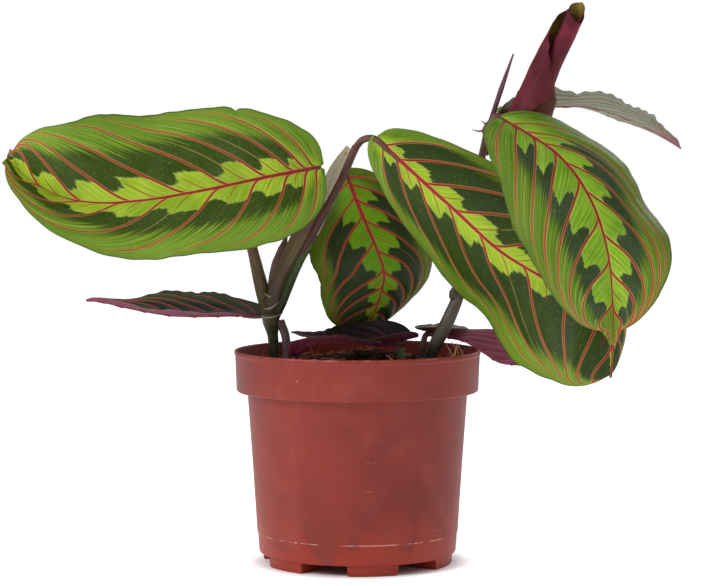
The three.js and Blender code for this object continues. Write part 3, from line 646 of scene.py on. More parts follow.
def add_blade(piece, name, rows, columns):
    """A blade closed at its margin: grooves over its veins, swells between them and ridges underneath."""
    leaf = LEAVES[name]
    veins = VEINS[name]
    last = 1 if "point" in leaf else min(leaf.get("end", OUTLINE_END) + BLADE_TAIL, 1)
    even = np.linspace(0, 1, rows + 1)
    crowded = (1 - np.cos(math.pi * even)) / 2
    t = (crowded * ROW_CROWDING + even * (1 - ROW_CROWDING)) * last
    half = np.linspace(0, 1, columns + 1)
    half = (1 - COLUMN_CROWDING) * half + COLUMN_CROWDING * half ** 2
    left = blade_half(leaf, 0, t, half, veins["seed"])[:, ::-1]
    right = blade_half(leaf, 1, t, half, veins["seed"])[:, 1:]
    middle = np.concatenate([left, right], 1)
    s = np.concatenate([-half[::-1], half[1:]])
    a = np.abs(s)
    normal = unit(np.cross(np.gradient(middle, axis=1), np.gradient(middle, axis=0)))
    q = [vein_numbers(veins, side, t, a) for side in (0, 1)]
    gap = [vein_spacing(middle, each) for each in q]
    steps = np.linalg.norm(np.diff(middle, axis=1), axis=-1)
    run = np.concatenate([np.zeros((rows + 1, 1)), np.cumsum(steps, 1)], 1)
    rib = np.abs(run - run[:, columns:columns + 1])
    own = np.where(s[None] > 0, 1, 0)
    q_own = np.where(own, q[1], q[0])
    gap_own = np.where(own, gap[1], gap[0])
    off = np.abs(q_own - np.round(q_own)) * gap_own
    strong = np.clip((0.97 - a) / 0.2, 0, 1) * np.clip((q_own + 0.5) / 0.3, 0, 1)
    swell = SWELL * np.sin(math.pi * (q_own - np.floor(q_own))) ** 2
    swell = swell * np.clip(gap_own / 8, 0, 1) * np.clip(rib / 5, 0, 1)
    groove = GROOVE[0] * bell(off, GROOVE[1]) * np.clip(gap_own / 4, 0, 1)
    thinning = (1 - t)[:, None]
    relief = (swell - groove) * strong - RIB_GROOVE[0] * bell(rib, RIB_GROOVE[1]) * thinning
    thick = MARGIN_THICKNESS + (BLADE_THICKNESS - MARGIN_THICKNESS) * (1 - a ** 4)[None]
    ridge = RIDGE[0] * bell(off, RIDGE[1]) * strong
    keel = (KEEL[0] * thinning + KEEL_AT_TIP) * bell(rib, KEEL[1])
    top = middle + normal * (thick / 2 + relief)[..., None]
    under = middle - normal * (thick / 2 - relief * 0.8 + ridge + keel)[..., None]
    wide = 2 * columns + 1
    count = (rows + 1) * wide
    first = piece.points(np.stack([top, under]))
    faces = grid_faces(rows + 1, wide)
    rim = margin_faces(rows + 1, wide, count)
    column = faces[:, 0] % wide
    for side, chosen in ((0, faces[column < columns]), (1, faces[column >= columns])):
        values = {"along": np.repeat(t, wide), "across": np.tile(s, rows + 1), "rib": rib.ravel()}
        values["vein"] = q[side].ravel()
        values["spacing"] = gap[side].ravel()
        both = {key: np.tile(value, 2) for key, value in values.items()}
        piece.faces(chosen, first, 0, **both)
        piece.faces(chosen[:, ::-1] + count, first, 1, **both)
        inside = (rim[:, 0] % wide <= columns) if side == 0 else (rim[:, 0] % wide > columns)
        piece.faces(rim[inside], first, 0, **both)


def add_tube(piece, points, wide, steps, sides, deep=None, slot=0, ribs=0.0, tint=None):
    """A closed tube with an oval section, half as wide and as deep as wide and deep say at even stations.

    Wide is across the tube in the view from the front, deep is front to back. Tint lists colours at shares
    of its length.
    """
    path = Path(points)
    t = np.linspace(0, 1, steps + 1)
    centre = path.at(t)
    along = path.along(t)
    away = np.where(np.abs(along[:, 1:2]) > 0.93, [[0, 0, 1.0]], [[0, 1.0, 0]])
    across = unit(np.cross(along, away))
    back = unit(np.cross(across, along))
    angle = np.linspace(0, 2 * math.pi, sides, endpoint=False)
    bumps = 1 + ribs * np.sin(angle * 9 + 0.7) + ribs * 0.7 * np.sin(angle * 14)
    x = np.cos(angle) * bumps * linear(wide, t)[:, None]
    y = np.sin(angle) * bumps * linear(deep or wide, t)[:, None]
    ring = centre[:, None] + across[:, None] * x[..., None] + back[:, None] * y[..., None]
    run = np.repeat(t * path.length, sides)
    section = np.stack([np.tile(np.cos(angle), steps + 1), np.tile(np.sin(angle), steps + 1), run], 1)
    tail = np.array([[0, 0, 0], [0, 0, path.length]])
    first = piece.points(np.concatenate([ring.reshape(-1, 3), centre[:1], centre[-1:]]))
    section = np.concatenate([section, tail])
    values = {"section": section}
    if tint:
        share = np.concatenate([np.repeat(t, sides), [0, 1]])
        stops = [stop for stop, _ in tint]
        colours = np.array([colour[:3] for _, colour in tint])
        values["tint"] = np.stack([np.interp(share, stops, colours[:, k]) for k in range(3)], 1)
    last = steps * sides
    piece.faces(ring_faces(steps + 1, sides, flip=True), first, slot, **values)
    piece.faces(cap_faces(last + sides, 0, sides), first, slot, **values)
    piece.faces(cap_faces(last + sides + 1, last, sides, flip=True), first, slot, **values)


# Leaf finishes

# How the edge of the lime centre bulges and narrows from one side vein to the next
LIME_SHAPE = [(0.0, 0.86), (0.24, 0.96), (0.46, 1.0), (0.55, 0.7), (0.66, 0.32), (0.86, 0.1), (1.0, 0.22)]

# near and far are the lime centre's least and greatest reach, blotch the dark blotches' end, as shares of
# the half width, for the left and the right half. span is the first and the last cell that has a blotch.
TOP = {
    "lime": rgb(156, 182, 36), "lime_deep": rgb(128, 160, 20), "thread": rgb(194, 212, 96),
    "dark": rgb(48, 66, 4), "dark_cool": rgb(60, 74, 26), "green": rgb(82, 118, 16),
    "margin": rgb(102, 136, 38), "streak": rgb(166, 192, 60), "vein": rgb(146, 26, 38),
    "vein_far": rgb(164, 58, 52), "halo": rgb(196, 164, 86), "rib": rgb(150, 44, 54),
    "edge": rgb(66, 80, 30), "tip": rgb(118, 146, 40),
    "near": (0.13, 0.13), "far": (0.36, 0.36), "blotch": (0.6, 0.62), "span": (0.6, 7.6),
    "taper": 0.0, "seed": 1.0,
}
HALO_SHARE = 0.5


def blade_values(paint):
    """Sockets that every blade has: places along and across it, vein numbers and distances from veins."""
    t, s, q, gap, rib = (paint.read(name) for name in ("along", "across", "vein", "spacing", "rib"))
    right = s.math("GREATER_THAN", 0.0)
    off = abs(q - q.math("ROUND")) * gap
    return t, abs(s), right, q, gap, rib, off


def blade_top(name, **changes):
    """The upper face: lime centre, dark blotches between the side veins, green margin and red veins."""
    look = {**TOP, **changes}
    paint = Paint(name)
    t, a, right, q, gap, rib, off = blade_values(paint)
    seed = look["seed"]
    cell = q.math("FLOOR")
    f = q - cell
    fine = paint.noise(paint.vector(q * 9.0, a * 5.0, right * 7.0 + seed), 1.0, 3.0, 0.6)
    threads = paint.noise(paint.vector(q * 26.0, a * 1.3, right * 3.0 + seed), 1.0, 2.0, 0.6)
    hairs = paint.noise(paint.vector(q * 44.0, a * 0.9, right * 4.0 + seed + 5.0), 1.0, 1.0, 0.5)
    lot = {"Vector": paint.vector(cell, right + seed, 0.0)}
    chance = paint.add("TexWhiteNoise", {"noise_dimensions": "2D"}, lot)
    broad = paint.mottle(60.0, 3.0, 0.55)
    grain = paint.mottle(900.0, 2.0, 0.6)

    # How far the lime centre and the dark blotches reach towards the margin
    pairs = (look["near"], look["far"], look["blotch"])
    near, far, end = (one + right * (other - one) for one, other in pairs)
    reach = near + (far - near) * paint.ramp(f, LIME_SHAPE) * (0.84 + 0.3 * chance)
    reach = reach * (1.0 - t * t * look["taper"])
    jag = (fine - 0.5) * 0.1 + (threads - 0.5) * 0.05
    first, last = look["span"]
    base_open = cell.fall(first - 0.1, first)
    tip_open = cell.rise(last - 0.1, last)
    closed = (1.0 - base_open) * (1.0 - tip_open)
    lime = (a + jag).fall(reach - 0.012, reach + 0.012)
    end = end + (chance - 0.5) * 0.14
    feather = a + (threads - 0.5) * 0.34 + (fine - 0.5) * 0.16
    dark = feather.fall(end - 0.1, end + 0.07) * (1.0 - lime) * closed

    # Ground colours
    pleat = q * 6.0 + (fine - 0.5) * 1.4
    fold = abs(pleat - pleat.math("ROUND")).fall(0.04, 0.3) * a.rise(0.02, 0.08)
    centre = paint.mix(broad.rise(0.35, 0.65), look["lime"], look["lime_deep"])
    centre = paint.coats(centre, (threads.rise(0.42, 0.66, 0.0, 0.42), look["thread"]),
                         (fold * 0.6, look["lime_deep"]))
    blotch = paint.mix(broad.rise(0.35, 0.62), look["dark"], look["dark_cool"])
    blotch = paint.mix(threads.rise(0.55, 0.8) * 0.25, blotch, look["green"])
    outer = paint.mix((a + (broad - 0.5) * 0.3).rise(0.5, 0.95), look["green"], look["margin"])
    lit = threads.rise(0.5, 0.72) * a.rise(0.36, 0.55) * a.fall(0.78, 0.97)
    hair = hairs.rise(0.6, 0.66) * a.rise(0.3, 0.5) * a.fall(0.85, 0.99)
    outer = paint.coats(outer, (lit * 0.8, look["streak"]), (hair * 0.45, look["thread"]))
    inner = paint.coats(outer, (base_open * a.fall(0.12, 0.6), centre),
                        (tip_open * a.fall(0.05, 0.7) * 0.7, look["tip"]))
    brink = abs(a + jag - reach).fall(0.0, 0.02) * closed
    ground = paint.coats(inner, (lime * closed, centre), (dark, blotch), (brink * 0.35, look["thread"]),
                         (grain.rise(0.55, 0.75) * 0.1, look["thread"]))

    # Short veins half way between the long ones, and a pale thread that goes on from some
    off_mid = abs(f - 0.5) * gap
    short = a.fall(0.1 + chance * 0.1, 0.16 + chance * 0.16) * chance.rise(0.2, 0.3)
    small = off_mid.fall(0.14, 0.34) * short * q.rise(0.4, 0.8)
    pale = off_mid.fall(0.08, 0.26) * (1.0 - short) * chance.rise(0.6, 0.7) * a.fall(0.5, 0.75) * 0.5

    # Side veins and the midrib
    strength = a.fall(0.86, 0.99) * q.rise(-0.5, -0.25)
    wide = 0.52 - a * 0.2
    halo = off.fall(wide, wide + 0.5) * strength
    vein = off.fall(wide - 0.14, wide + 0.12) * strength
    vein_colour = paint.mix(a.rise(0.2, 0.85), look["vein"], look["vein_far"])
    vein_colour = paint.mix(a.rise(0.8, 0.98) * 0.7, vein_colour, look["green"])
    half_rib = 0.98 - t * 0.6
    rib_colour = paint.mix(rib.fall(0.0, 0.45) * (1.0 - t), look["vein"], look["rib"])
    colour = paint.coats(
        ground, (pale, look["halo"]), (halo * HALO_SHARE, look["halo"]), (small * 0.85, look["vein"]),
        (vein, vein_colour), (rib.fall(half_rib + 0.05, half_rib + 0.5) * HALO_SHARE, look["halo"]),
        (rib.fall(half_rib - 0.15, half_rib + 0.15), rib_colour), (a.rise(0.975, 0.995) * 0.8, look["edge"]))
    normal = paint.bump(threads * 0.5 + fine * 0.3 + grain * 0.35, 0.35, 0.00035)
    roughness = 0.42 + broad * 0.12 + grain * 0.06
    return paint.finish(colour, roughness, normal, Specular_IOR_Level=0.17)


# wine is how much of the underside takes the ground colour, and the rest is pale
UNDER = {
    "ground": rgb(126, 84, 92), "shade": rgb(104, 44, 66), "vein": rgb(120, 34, 58), "rib": rgb(142, 60, 74),
    "pale": rgb(158, 148, 122), "tip": rgb(150, 70, 92), "wine": 0.5,
}


def blade_under(name, **changes):
    """The underside: wine red to grey green, with raised veins and a fine grain along them."""
    look = {**UNDER, **changes}
    paint = Paint(name)
    t, a, right, q, _, rib, off = blade_values(paint)
    f = q - q.math("FLOOR")
    threads = paint.noise(paint.vector(q * 22.0, a * 1.6, right * 5.0 + 2.0), 1.0, 2.0, 0.6)
    broad = paint.mottle(45.0, 3.0, 0.55)
    grain = paint.mottle(1100.0, 2.0, 0.6)
    share = (broad - 0.5) * 1.2 + (f - 0.5) * 0.5 + look["wine"]
    ground = paint.mix(share.rise(0.1, 0.95), look["pale"], look["ground"])
    strength = a.fall(0.85, 0.99) * q.rise(-0.5, -0.25)
    colour = paint.coats(
        ground, (threads.rise(0.42, 0.7) * 0.55, look["shade"]), (t.rise(0.72, 1.0), look["tip"]),
        (off.fall(0.2, 0.75) * strength * 0.7, look["vein"]),
        (rib.fall(0.9 - t * 0.6, 1.4 - t * 0.8) * 0.9, look["rib"]),
        (a.rise(0.97, 0.995) * 0.6, look["shade"]))
    normal = paint.bump(threads * 0.6 + grain * 0.4, 0.4, 0.0004)
    return paint.finish(colour, 0.5 + grain * 0.15, normal, Specular_IOR_Level=0.2, Sheen_Weight=0.05)


def stalk_skin(name, dark, light, speck, seed=1.0):
    """A stem's or stalk's skin, streaked along its length."""
    paint = Paint(name)
    fibre = paint.noise(paint.section((3.2, 3.2, 0.05), (seed, 0, 0)), 2.4, 3.0, 0.6)
    broad = paint.noise(paint.section((0.8, 0.8, 0.09), (0, seed, 0)), 1.0, 2.0, 0.5)
    grain = paint.mottle(1500.0, 2.0, 0.6)
    ground = paint.mix((fibre * 0.6 + broad * 0.4).rise(0.36, 0.64), dark, light)
    colour = paint.mix(grain.rise(0.6, 0.78) * 0.3, ground, speck)
    normal = paint.bump(fibre + grain * 0.25, 0.4, 0.0003)
    return paint.finish(colour, 0.36 + grain * 0.2, normal, Specular_IOR_Level=0.4)


def tinted_skin(name):
    """A stem's skin, with its colour painted along the piece and streaks on top."""
    paint = Paint(name)
    tint = paint.read("tint", "Color")
    fibre = paint.noise(paint.section((3.6, 3.6, 0.04)), 2.6, 3.0, 0.65)
    grain = paint.mottle(1400.0, 2.0, 0.6)
    broad = paint.mottle(160.0, 2.0, 0.5)
    shade = paint.mix(1.0, tint, rgb(140, 112, 112), "MULTIPLY")
    pale = paint.mix(0.5, tint, rgb(176, 172, 138))
    colour = paint.coats(
        tint, (fibre.rise(0.56, 0.72) * 0.5, pale), (fibre.fall(0.3, 0.48) * 0.8, shade),
        (broad.rise(0.55, 0.75) * 0.25, shade), (grain.rise(0.64, 0.76) * 0.35, pale))
    normal = paint.bump(fibre + grain * 0.3, 0.45, 0.0003)
    return paint.finish(colour, 0.34 + grain * 0.22, normal, Specular_IOR_Level=0.3)


def wing_skin():
    """A dry papery membrane: pale, with fine green and purple lines along it."""
    paint = Paint("wing_skin")
    lines = paint.noise(paint.section((1.6, 1.0, 0.012)), 2.2, 3.0, 0.7)
    green = paint.noise(paint.section((2.4, 1.0, 0.02), (4.0, 0, 0)), 1.8, 2.0, 0.5)
    grain = paint.mottle(1200.0, 2.0, 0.6)
    ground = paint.mix(green.rise(0.5, 0.62), rgb(186, 178, 152), rgb(128, 132, 86))
    colour = paint.coats(ground, (lines.fall(0.36, 0.48), rgb(96, 64, 62)),
                         (grain.rise(0.6, 0.8) * 0.4, rgb(214, 208, 192)))
    normal = paint.bump(lines + grain * 0.3, 0.4, 0.0003)
    return paint.finish(colour, 0.5 + grain * 0.2, normal, Specular_IOR_Level=0.25)


# Floor and light
FLOOR_SIZE = 12
FLOOR_GLOW = 0.72
ROOM_GLOW = 0.34
PLANT_MIDDLE = (0, 0, 0.15)


def add_stage():
    """A white floor that glows a little, with a painted shadow: the glow turns grey round the pot's foot and
    black under it.
    """
    bpy.ops.mesh.primitive_plane_add(size=FLOOR_SIZE)
    floor = bpy.context.object
    floor.name = "floor"
    paint = Paint("floor_white")
    colour = paint.mix(paint.mottle(3.0), rgb(244, 244, 246), rgb(247, 247, 248))
    x, y, _ = paint.parts(paint.place())
    reach = (x * x + y * y).math("SQRT")
    # Painted shadow: the glow's colour falls to grey in a ring round the pot's foot and to black under the
    # pot
    lit = paint.coats((1, 1, 1, 1), (reach.fall(0.047, 0.057), (0.34, 0.34, 0.35, 1)),
                      (reach.fall(0.040, 0.050), (0, 0, 0, 1)))
    glow = {"Specular_IOR_Level": 0.0, "Emission_Color": lit, "Emission_Strength": FLOOR_GLOW}
    floor.data.materials.append(paint.finish(colour, 0.9, **glow))


def add_area(name, place, size, power):
    """A soft square lamp that shines on the middle of the plant."""
    light = bpy.data.lights.new(name, "AREA")
    light.size = size
    light.energy = power
    holder = bpy.data.objects.new(name, light)
    holder.location = place
    way = Vector(PLANT_MIDDLE) - Vector(place)
    holder.rotation_euler = way.to_track_quat("-Z", "Y").to_euler()
    bpy.context.scene.collection.objects.link(holder)


def add_light():
    """A white room that shows as plain white, and three soft lamps."""
    scene = bpy.context.scene
    scene.view_settings.view_transform = "Standard"
    scene.view_settings.look = "None"
    world = bpy.data.worlds.new("room")
    world.use_nodes = True
    scene.world = world
    tree = world.node_tree
    room = tree.nodes["Background"]
    room.inputs["Color"].default_value = (1, 1, 1, 1)
    room.inputs["Strength"].default_value = ROOM_GLOW
    seen = tree.nodes.new("ShaderNodeBackground")
    seen.inputs["Strength"].default_value = 1.0
    seen.inputs["Color"].default_value = (1, 1, 1, 1)
    ray = tree.nodes.new("ShaderNodeLightPath")
    both = tree.nodes.new("ShaderNodeMixShader")
    tree.links.new(ray.outputs["Is Camera Ray"], both.inputs[0])
    tree.links.new(room.outputs[0], both.inputs[1])
    tree.links.new(seen.outputs[0], both.inputs[2])
    tree.links.new(both.outputs[0], tree.nodes["World Output"].inputs["Surface"])
    add_area("key", (-1.35, -1.0, 1.2), 0.8, 23)
    add_area("fill", (1.3, -1.4, 0.7), 1.2, 2.5)
    add_area("back", (0.9, 1.3, 0.9), 0.8, 6)


add_stage()
add_light()


# The leaves

# A darker copy of the leaf colours for the leaf in the middle: painted shade, with a more saturated lime and
# brighter veins that stand for light shining through the blade
PAINTED_SHADE = {
    "lime": rgb(116, 166, 8), "lime_deep": rgb(92, 146, 14), "thread": rgb(140, 178, 40),
    "dark": rgb(40, 54, 22), "dark_cool": rgb(48, 60, 34), "green": rgb(74, 98, 18),
    "margin": rgb(90, 108, 18), "streak": rgb(108, 132, 34), "vein": rgb(170, 44, 40),
    "vein_far": rgb(168, 62, 44), "halo": rgb(150, 120, 60),
}
# A dark, grey copy of the leaf colours without the lime centre, for the low leaves under the others: painted
# shade, with the red veins kept bright
PAINTED_DEEP_SHADE = {
    "lime": rgb(58, 66, 48), "lime_deep": rgb(50, 52, 48), "thread": rgb(84, 88, 66),
    "dark": rgb(26, 40, 22), "dark_cool": rgb(40, 44, 42), "green": rgb(46, 66, 34),
    "margin": rgb(58, 74, 44), "streak": rgb(72, 88, 52), "vein": rgb(170, 66, 66),
    "vein_far": rgb(176, 78, 70), "halo": rgb(110, 70, 64), "rib": rgb(140, 50, 62), "edge": rgb(60, 50, 40),
}
# Near-black leaf colours for the low leaf in front, whose upper face lies in shadow: painted shadow, with
# dark red veins and a paler margin
PAINTED_SHADOW = {
    **dict.fromkeys(("lime", "lime_deep", "dark", "dark_cool", "green"), rgb(22, 14, 20)),
    "margin": rgb(28, 24, 26), "streak": rgb(44, 32, 38), "thread": rgb(46, 30, 38), "vein": rgb(74, 18, 30),
    "vein_far": rgb(52, 20, 28), "halo": rgb(40, 24, 30), "rib": rgb(60, 20, 30), "edge": rgb(70, 76, 66),
}
TOPS = {
    "leaf_left": {"near": (0.17, 0.1), "far": (0.31, 0.26), "seed": 1.0, "dark_cool": rgb(56, 74, 24),
                  "span": (0.4, 8.6)},
    "leaf_centre": {"near": (0.14, 0.14), "far": (0.42, 0.4), "seed": 4.0, "blotch": (0.72, 0.82),
                    "taper": 0.75, **PAINTED_SHADE},
    "leaf_long": {"near": (0.09, 0.09), "far": (0.24, 0.26), "seed": 7.0, "blotch": (0.85, 0.74),
                  "dark": rgb(48, 66, 14), "dark_cool": rgb(44, 60, 24), "span": (-0.4, 8.6), "taper": 0.9},
    "leaf_front": {"near": (0.14, 0.14), "far": (0.34, 0.42), "seed": 11.0, "blotch": (0.6, 0.6),
                   "dark": rgb(44, 62, 24), "dark_cool": rgb(52, 70, 44), "lime": rgb(128, 172, 28),
                   "lime_deep": rgb(98, 146, 22), "green": rgb(78, 112, 14), "margin": rgb(88, 116, 32),
                   "streak": rgb(142, 170, 58), "span": (0.6, 6.6)},
    "leaf_back": {"seed": 15.0},
    "leaf_low_left": {"seed": 17.0, **PAINTED_DEEP_SHADE},
    "leaf_low_front": {"seed": 19.0, **PAINTED_SHADOW},
    "leaf_low_under": {"seed": 23.0, **PAINTED_DEEP_SHADE},
    "leaf_low_right": {"seed": 27.0, **PAINTED_DEEP_SHADE, "green": rgb(56, 88, 40), "margin": rgb(70, 100, 50)},
}
WINE = {
    "ground": rgb(112, 34, 60), "shade": rgb(84, 24, 46), "pale": rgb(104, 56, 66), "vein": rgb(82, 24, 44),
    "rib": rgb(110, 40, 62), "tip": rgb(140, 40, 76), "wine": 1.0,
}
GREY = {
    "ground": rgb(132, 136, 112), "shade": rgb(108, 112, 92), "pale": rgb(148, 152, 126),
    "vein": rgb(104, 88, 84), "rib": rgb(124, 42, 54), "tip": rgb(158, 74, 96), "wine": 0.3,
}

# The stalk's tail under the midrib: shares of the midrib, and how far it lies under the blade there
TAIL_SHARES = np.array([0.0, 0.05, 0.1])
TAIL_DEPTHS = np.array([[0.9], [1.3], [1.3]])
SPIKE_RADII = [0.6, 0.45, 0.28, 0.08]


def add_leaf(name, leaf, under, stalk):
    """A blade with its two faces, its stalk and, where it has them, the small spikes at its base."""
    piece = Piece(name + "_blade")
    add_blade(piece, name, *leaf["grid"])
    path = Path(leaf["mid"])
    face = smooth(leaf["face"], TAIL_SHARES)
    along = path.along(TAIL_SHARES)
    face = unit(face - (face * along).sum(-1, keepdims=True) * along)
    tail = path.at(TAIL_SHARES) - face * TAIL_DEPTHS
    add_tube(piece, [*leaf["stalk"], *tail], leaf["stalkRadius"], 60, 16, slot=2, ribs=0.02)
    for spike in leaf.get("spikes", []):
        add_tube(piece, spike, SPIKE_RADII, 16, 8, slot=2)
    top = blade_top(name + "_top", **TOPS[name])
    piece.build([top, under, stalk], node=name)


def add_leaves():
    plain = blade_under("leaf_under")
    wine = blade_under("leaf_under_wine", **WINE)
    grey = blade_under("leaf_under_grey", **GREY)
    stalk = stalk_skin("stalk_skin", rgb(80, 42, 38), rgb(104, 68, 46), rgb(140, 112, 84))
    for name, leaf in LEAVES.items():
        low = wine if name.startswith("leaf_low") else plain
        add_leaf(name, leaf, grey if name == "leaf_back" else low, stalk)


add_leaves()


# The pot

POT_SEGMENTS = 240
SHARP_ANGLE = 35
FOOT_STEPS = 15
FOOT_DRAFT = 0.35


def rounded(corners, steps=5):
    """A profile whose corners, each (radius, height, rounding), are eased into arcs."""
    places = [np.array(c[:2], float) for c in corners]
    line = [places[0]]
    for i in range(1, len(corners) - 1):
        ease = corners[i][2]
        here = places[i]
        before = here + unit(places[i - 1] - here) * ease
        after = here + unit(places[i + 1] - here) * ease
        for u in np.linspace(0, 1, steps):
            line.append(before * (1 - u) ** 2 + here * 2 * u * (1 - u) + after * u ** 2)
    line.append(places[-1])
    return np.array(line)


def body_radius(z):
    """The pot body's outer radius at a height."""
    slope = (BODY_TOP_RADIUS - BODY_FOOT_RADIUS) / (BAND_BOTTOM - FOOT_HEIGHT)
    return BODY_FOOT_RADIUS + slope * (z - FOOT_HEIGHT)


def pot_profile():
    """The pot's section, from the middle of the base outside, over the rim, to the middle inside."""
    top = POT_HEIGHT
    floor_z = FOOT_HEIGHT + WALL
    line = MOULD_LINE_Z
    return rounded([
        (0, FOOT_HEIGHT, 0), (BODY_FOOT_RADIUS, FOOT_HEIGHT, 1.3), (body_radius(line), line, 0.1),
        (body_radius(line) + 0.3, line + 0.3, 0.12), (body_radius(50), 50, 0.5),
        (BODY_TOP_RADIUS, BAND_BOTTOM, 0.5), (BAND_RADIUS - 0.05, BAND_BOTTOM, 1.1),
        (RIM_RADIUS - 0.4, top - 2.6, 0.3), (RIM_RADIUS, top - 2.0, 0.3), (RIM_RADIUS, top, 0.8),
        (RIM_RADIUS - WALL - 0.2, top, 0.6), (BAND_RADIUS - WALL, BAND_BOTTOM + WALL, 0.9),
        (BODY_TOP_RADIUS - WALL, BAND_BOTTOM + WALL, 0.7), (body_radius(floor_z) - WALL, floor_z, 1.5),
        (0, floor_z, 0),
    ])


def lathe(piece, profile, segments):
    """Turns a profile that starts and ends on the axis into a closed surface."""
    angle = np.linspace(0, 2 * math.pi, segments, endpoint=False)
    inner = profile[1:-1]
    r, z = inner[:, :1], inner[:, 1:]
    x = r * np.cos(angle)
    y = r * np.sin(angle)
    ring = np.stack([x, y, np.broadcast_to(z, x.shape)], -1).reshape(-1, 3)
    ends = [[0, 0, profile[0, 1]], [0, 0, profile[-1, 1]]]
    first = piece.points(np.concatenate([ring, ends]))
    pole = len(inner) * segments
    piece.faces(ring_faces(len(inner), segments), first)
    piece.faces(cap_faces(pole, 0, segments, flip=True), first)
    piece.faces(cap_faces(pole + 1, pole - segments, segments), first)


def add_foot(piece, middle):
    """One foot: a curved block with softened edges, its top sunk in the base."""
    half = math.radians(FOOT_ANGLE / 2)
    angle = np.linspace(-half, half, FOOT_STEPS) + math.radians(middle)
    # Each row is a height and how far the sides stand back there
    draft = FOOT_DRAFT
    rows = ((FOOT_HEIGHT + 0.6, 0.0), (1.0, draft * 0.8), (0.25, draft + 0.15), (0.0, draft + 0.6))
    loops = []
    for z, back in rows:
        trim = back / FOOT_OUTER_RADIUS
        turn = np.clip(angle, angle[0] + trim, angle[-1] - trim)
        round_it = np.stack([np.cos(turn), np.sin(turn)], 1)
        level = np.full((FOOT_STEPS, 1), z)
        outside = np.hstack([(FOOT_OUTER_RADIUS - back) * round_it, level])
        inside = np.hstack([(FOOT_INNER_RADIUS + back) * round_it, level])[::-1]
        loops.append(np.concatenate([outside, inside]))
    count = 2 * FOOT_STEPS
    first = piece.points(np.concatenate(loops))
    piece.faces(ring_faces(len(loops), count, flip=True), first)
    last = (len(loops) - 1) * count
    k = np.arange(FOOT_STEPS - 1)
    top = np.stack([k, k + 1, count - 2 - k, count - 1 - k], 1)
    piece.faces(top, first)
    piece.faces(top[:, ::-1] + last, first)


def specks(paint, place, scale, size, chance, channel=0):
    """Round marks of a size, in the few cells whose chance value is high."""
    lot = paint.parts(paint.cells(place, scale, "Color"))[channel]
    return paint.cells(place, scale).fall(*size) * lot.rise(*chance)


def pot_plastic():
    """Semi-matt coloured plastic with scuffs, dust, dirt specks and a worn mould line."""
    paint = Paint("pot_plastic")
    place = paint.place()
    x, y, z = paint.parts(place)
    cloud = paint.noise(place, 45.0, 4.0, 0.62)
    fine = paint.noise(place, 700.0, 3.0, 0.6)

    # Warm patches low on the body, scuffs, dark specks and pale ones
    upright = paint.noise(paint.place(scale=(1, 1, 0.6)), 42.0, 3.0, 0.6)
    low = (z + (cloud - 0.5) * 0.03).fall(0.012, 0.04)
    warm = low * (upright + z.fall(0.002, 0.016) * 0.2).rise(0.44, 0.58)
    streak = paint.noise(paint.place(scale=(1, 1, 9), turn=(0.5, 0.3, 0.0)), 60.0, 4.0, 0.7)
    scuff_zone = paint.noise(place, 30.0, 2.0, 0.5).rise(0.55, 0.66) * z.fall(0.03, 0.085)
    scuff = streak.rise(0.64, 0.7) * scuff_zone
    speck = specks(paint, place, 130.0, (0.07, 0.13), (0.86, 0.88))
    pale = specks(paint, paint.place(turn=(1.0, 0.4, 0.2)), 110.0, (0.015, 0.06), (0.7, 0.72), channel=1)

    # A thin dark scratch in front, with run as its share from left to right
    run = (x - 0.0015) * 100.0
    line = 0.0261 - run * 0.0062 + run * run * 0.0008
    scratch = abs(z - line).fall(0.00008, 0.00026) * y.fall(-0.01, 0.0)
    scratch = scratch * run.rise(0.0, 0.2) * run.fall(0.8, 1.0)

    # The mould line, the rim's edge and the soil's mark inside the rim
    mark = abs(z - (MOULD_LINE_Z + 0.25) * MM).fall(0.0001, 0.0004)
    worn = mark * paint.noise(place, 120.0, 3.0, 0.7).rise(0.46, 0.56)
    rim = z.rise(POT_HEIGHT * MM - 0.0012, POT_HEIGHT * MM - 0.0003)
    rim_wear = rim * paint.noise(place, 160.0, 3.0, 0.7).rise(0.4, 0.7)
    inside = (x * x + y * y).fall(0.0569 ** 2, 0.0584 ** 2) * z.rise(0.09, 0.094)
    soil_mark = inside * cloud.rise(0.42, 0.6) * z.fall(0.096, 0.103)

    broad = paint.noise(place, 14.0, 3.0, 0.6)
    ground = paint.mix(broad.rise(0.35, 0.65), rgb(130, 43, 32), rgb(112, 34, 27))
    colour = paint.coats(
        ground, (warm * 0.8, rgb(146, 42, 18)), (cloud.rise(0.5, 0.75) * 0.2, rgb(164, 84, 74)),
        (scuff * 0.5, rgb(206, 150, 140)), (speck * 0.85, rgb(84, 32, 30)), (pale * 0.7, rgb(214, 160, 148)),
        (scratch * 0.8, rgb(70, 26, 22)), (worn * 0.6, rgb(222, 170, 160)),
        (rim_wear * 0.45, rgb(196, 128, 120)), (soil_mark * 0.8, rgb(60, 30, 24)))
    height = fine * 0.25 + cloud * 0.6 + scuff * -0.3 + speck * 0.5 + pale * 0.5
    normal = paint.bump(height, 0.25, 0.0005)
    roughness = 0.42 + cloud * 0.16 + scuff * 0.2 + warm * -0.04 + fine * 0.05
    return paint.finish(colour, roughness, normal, Specular_IOR_Level=0.3)


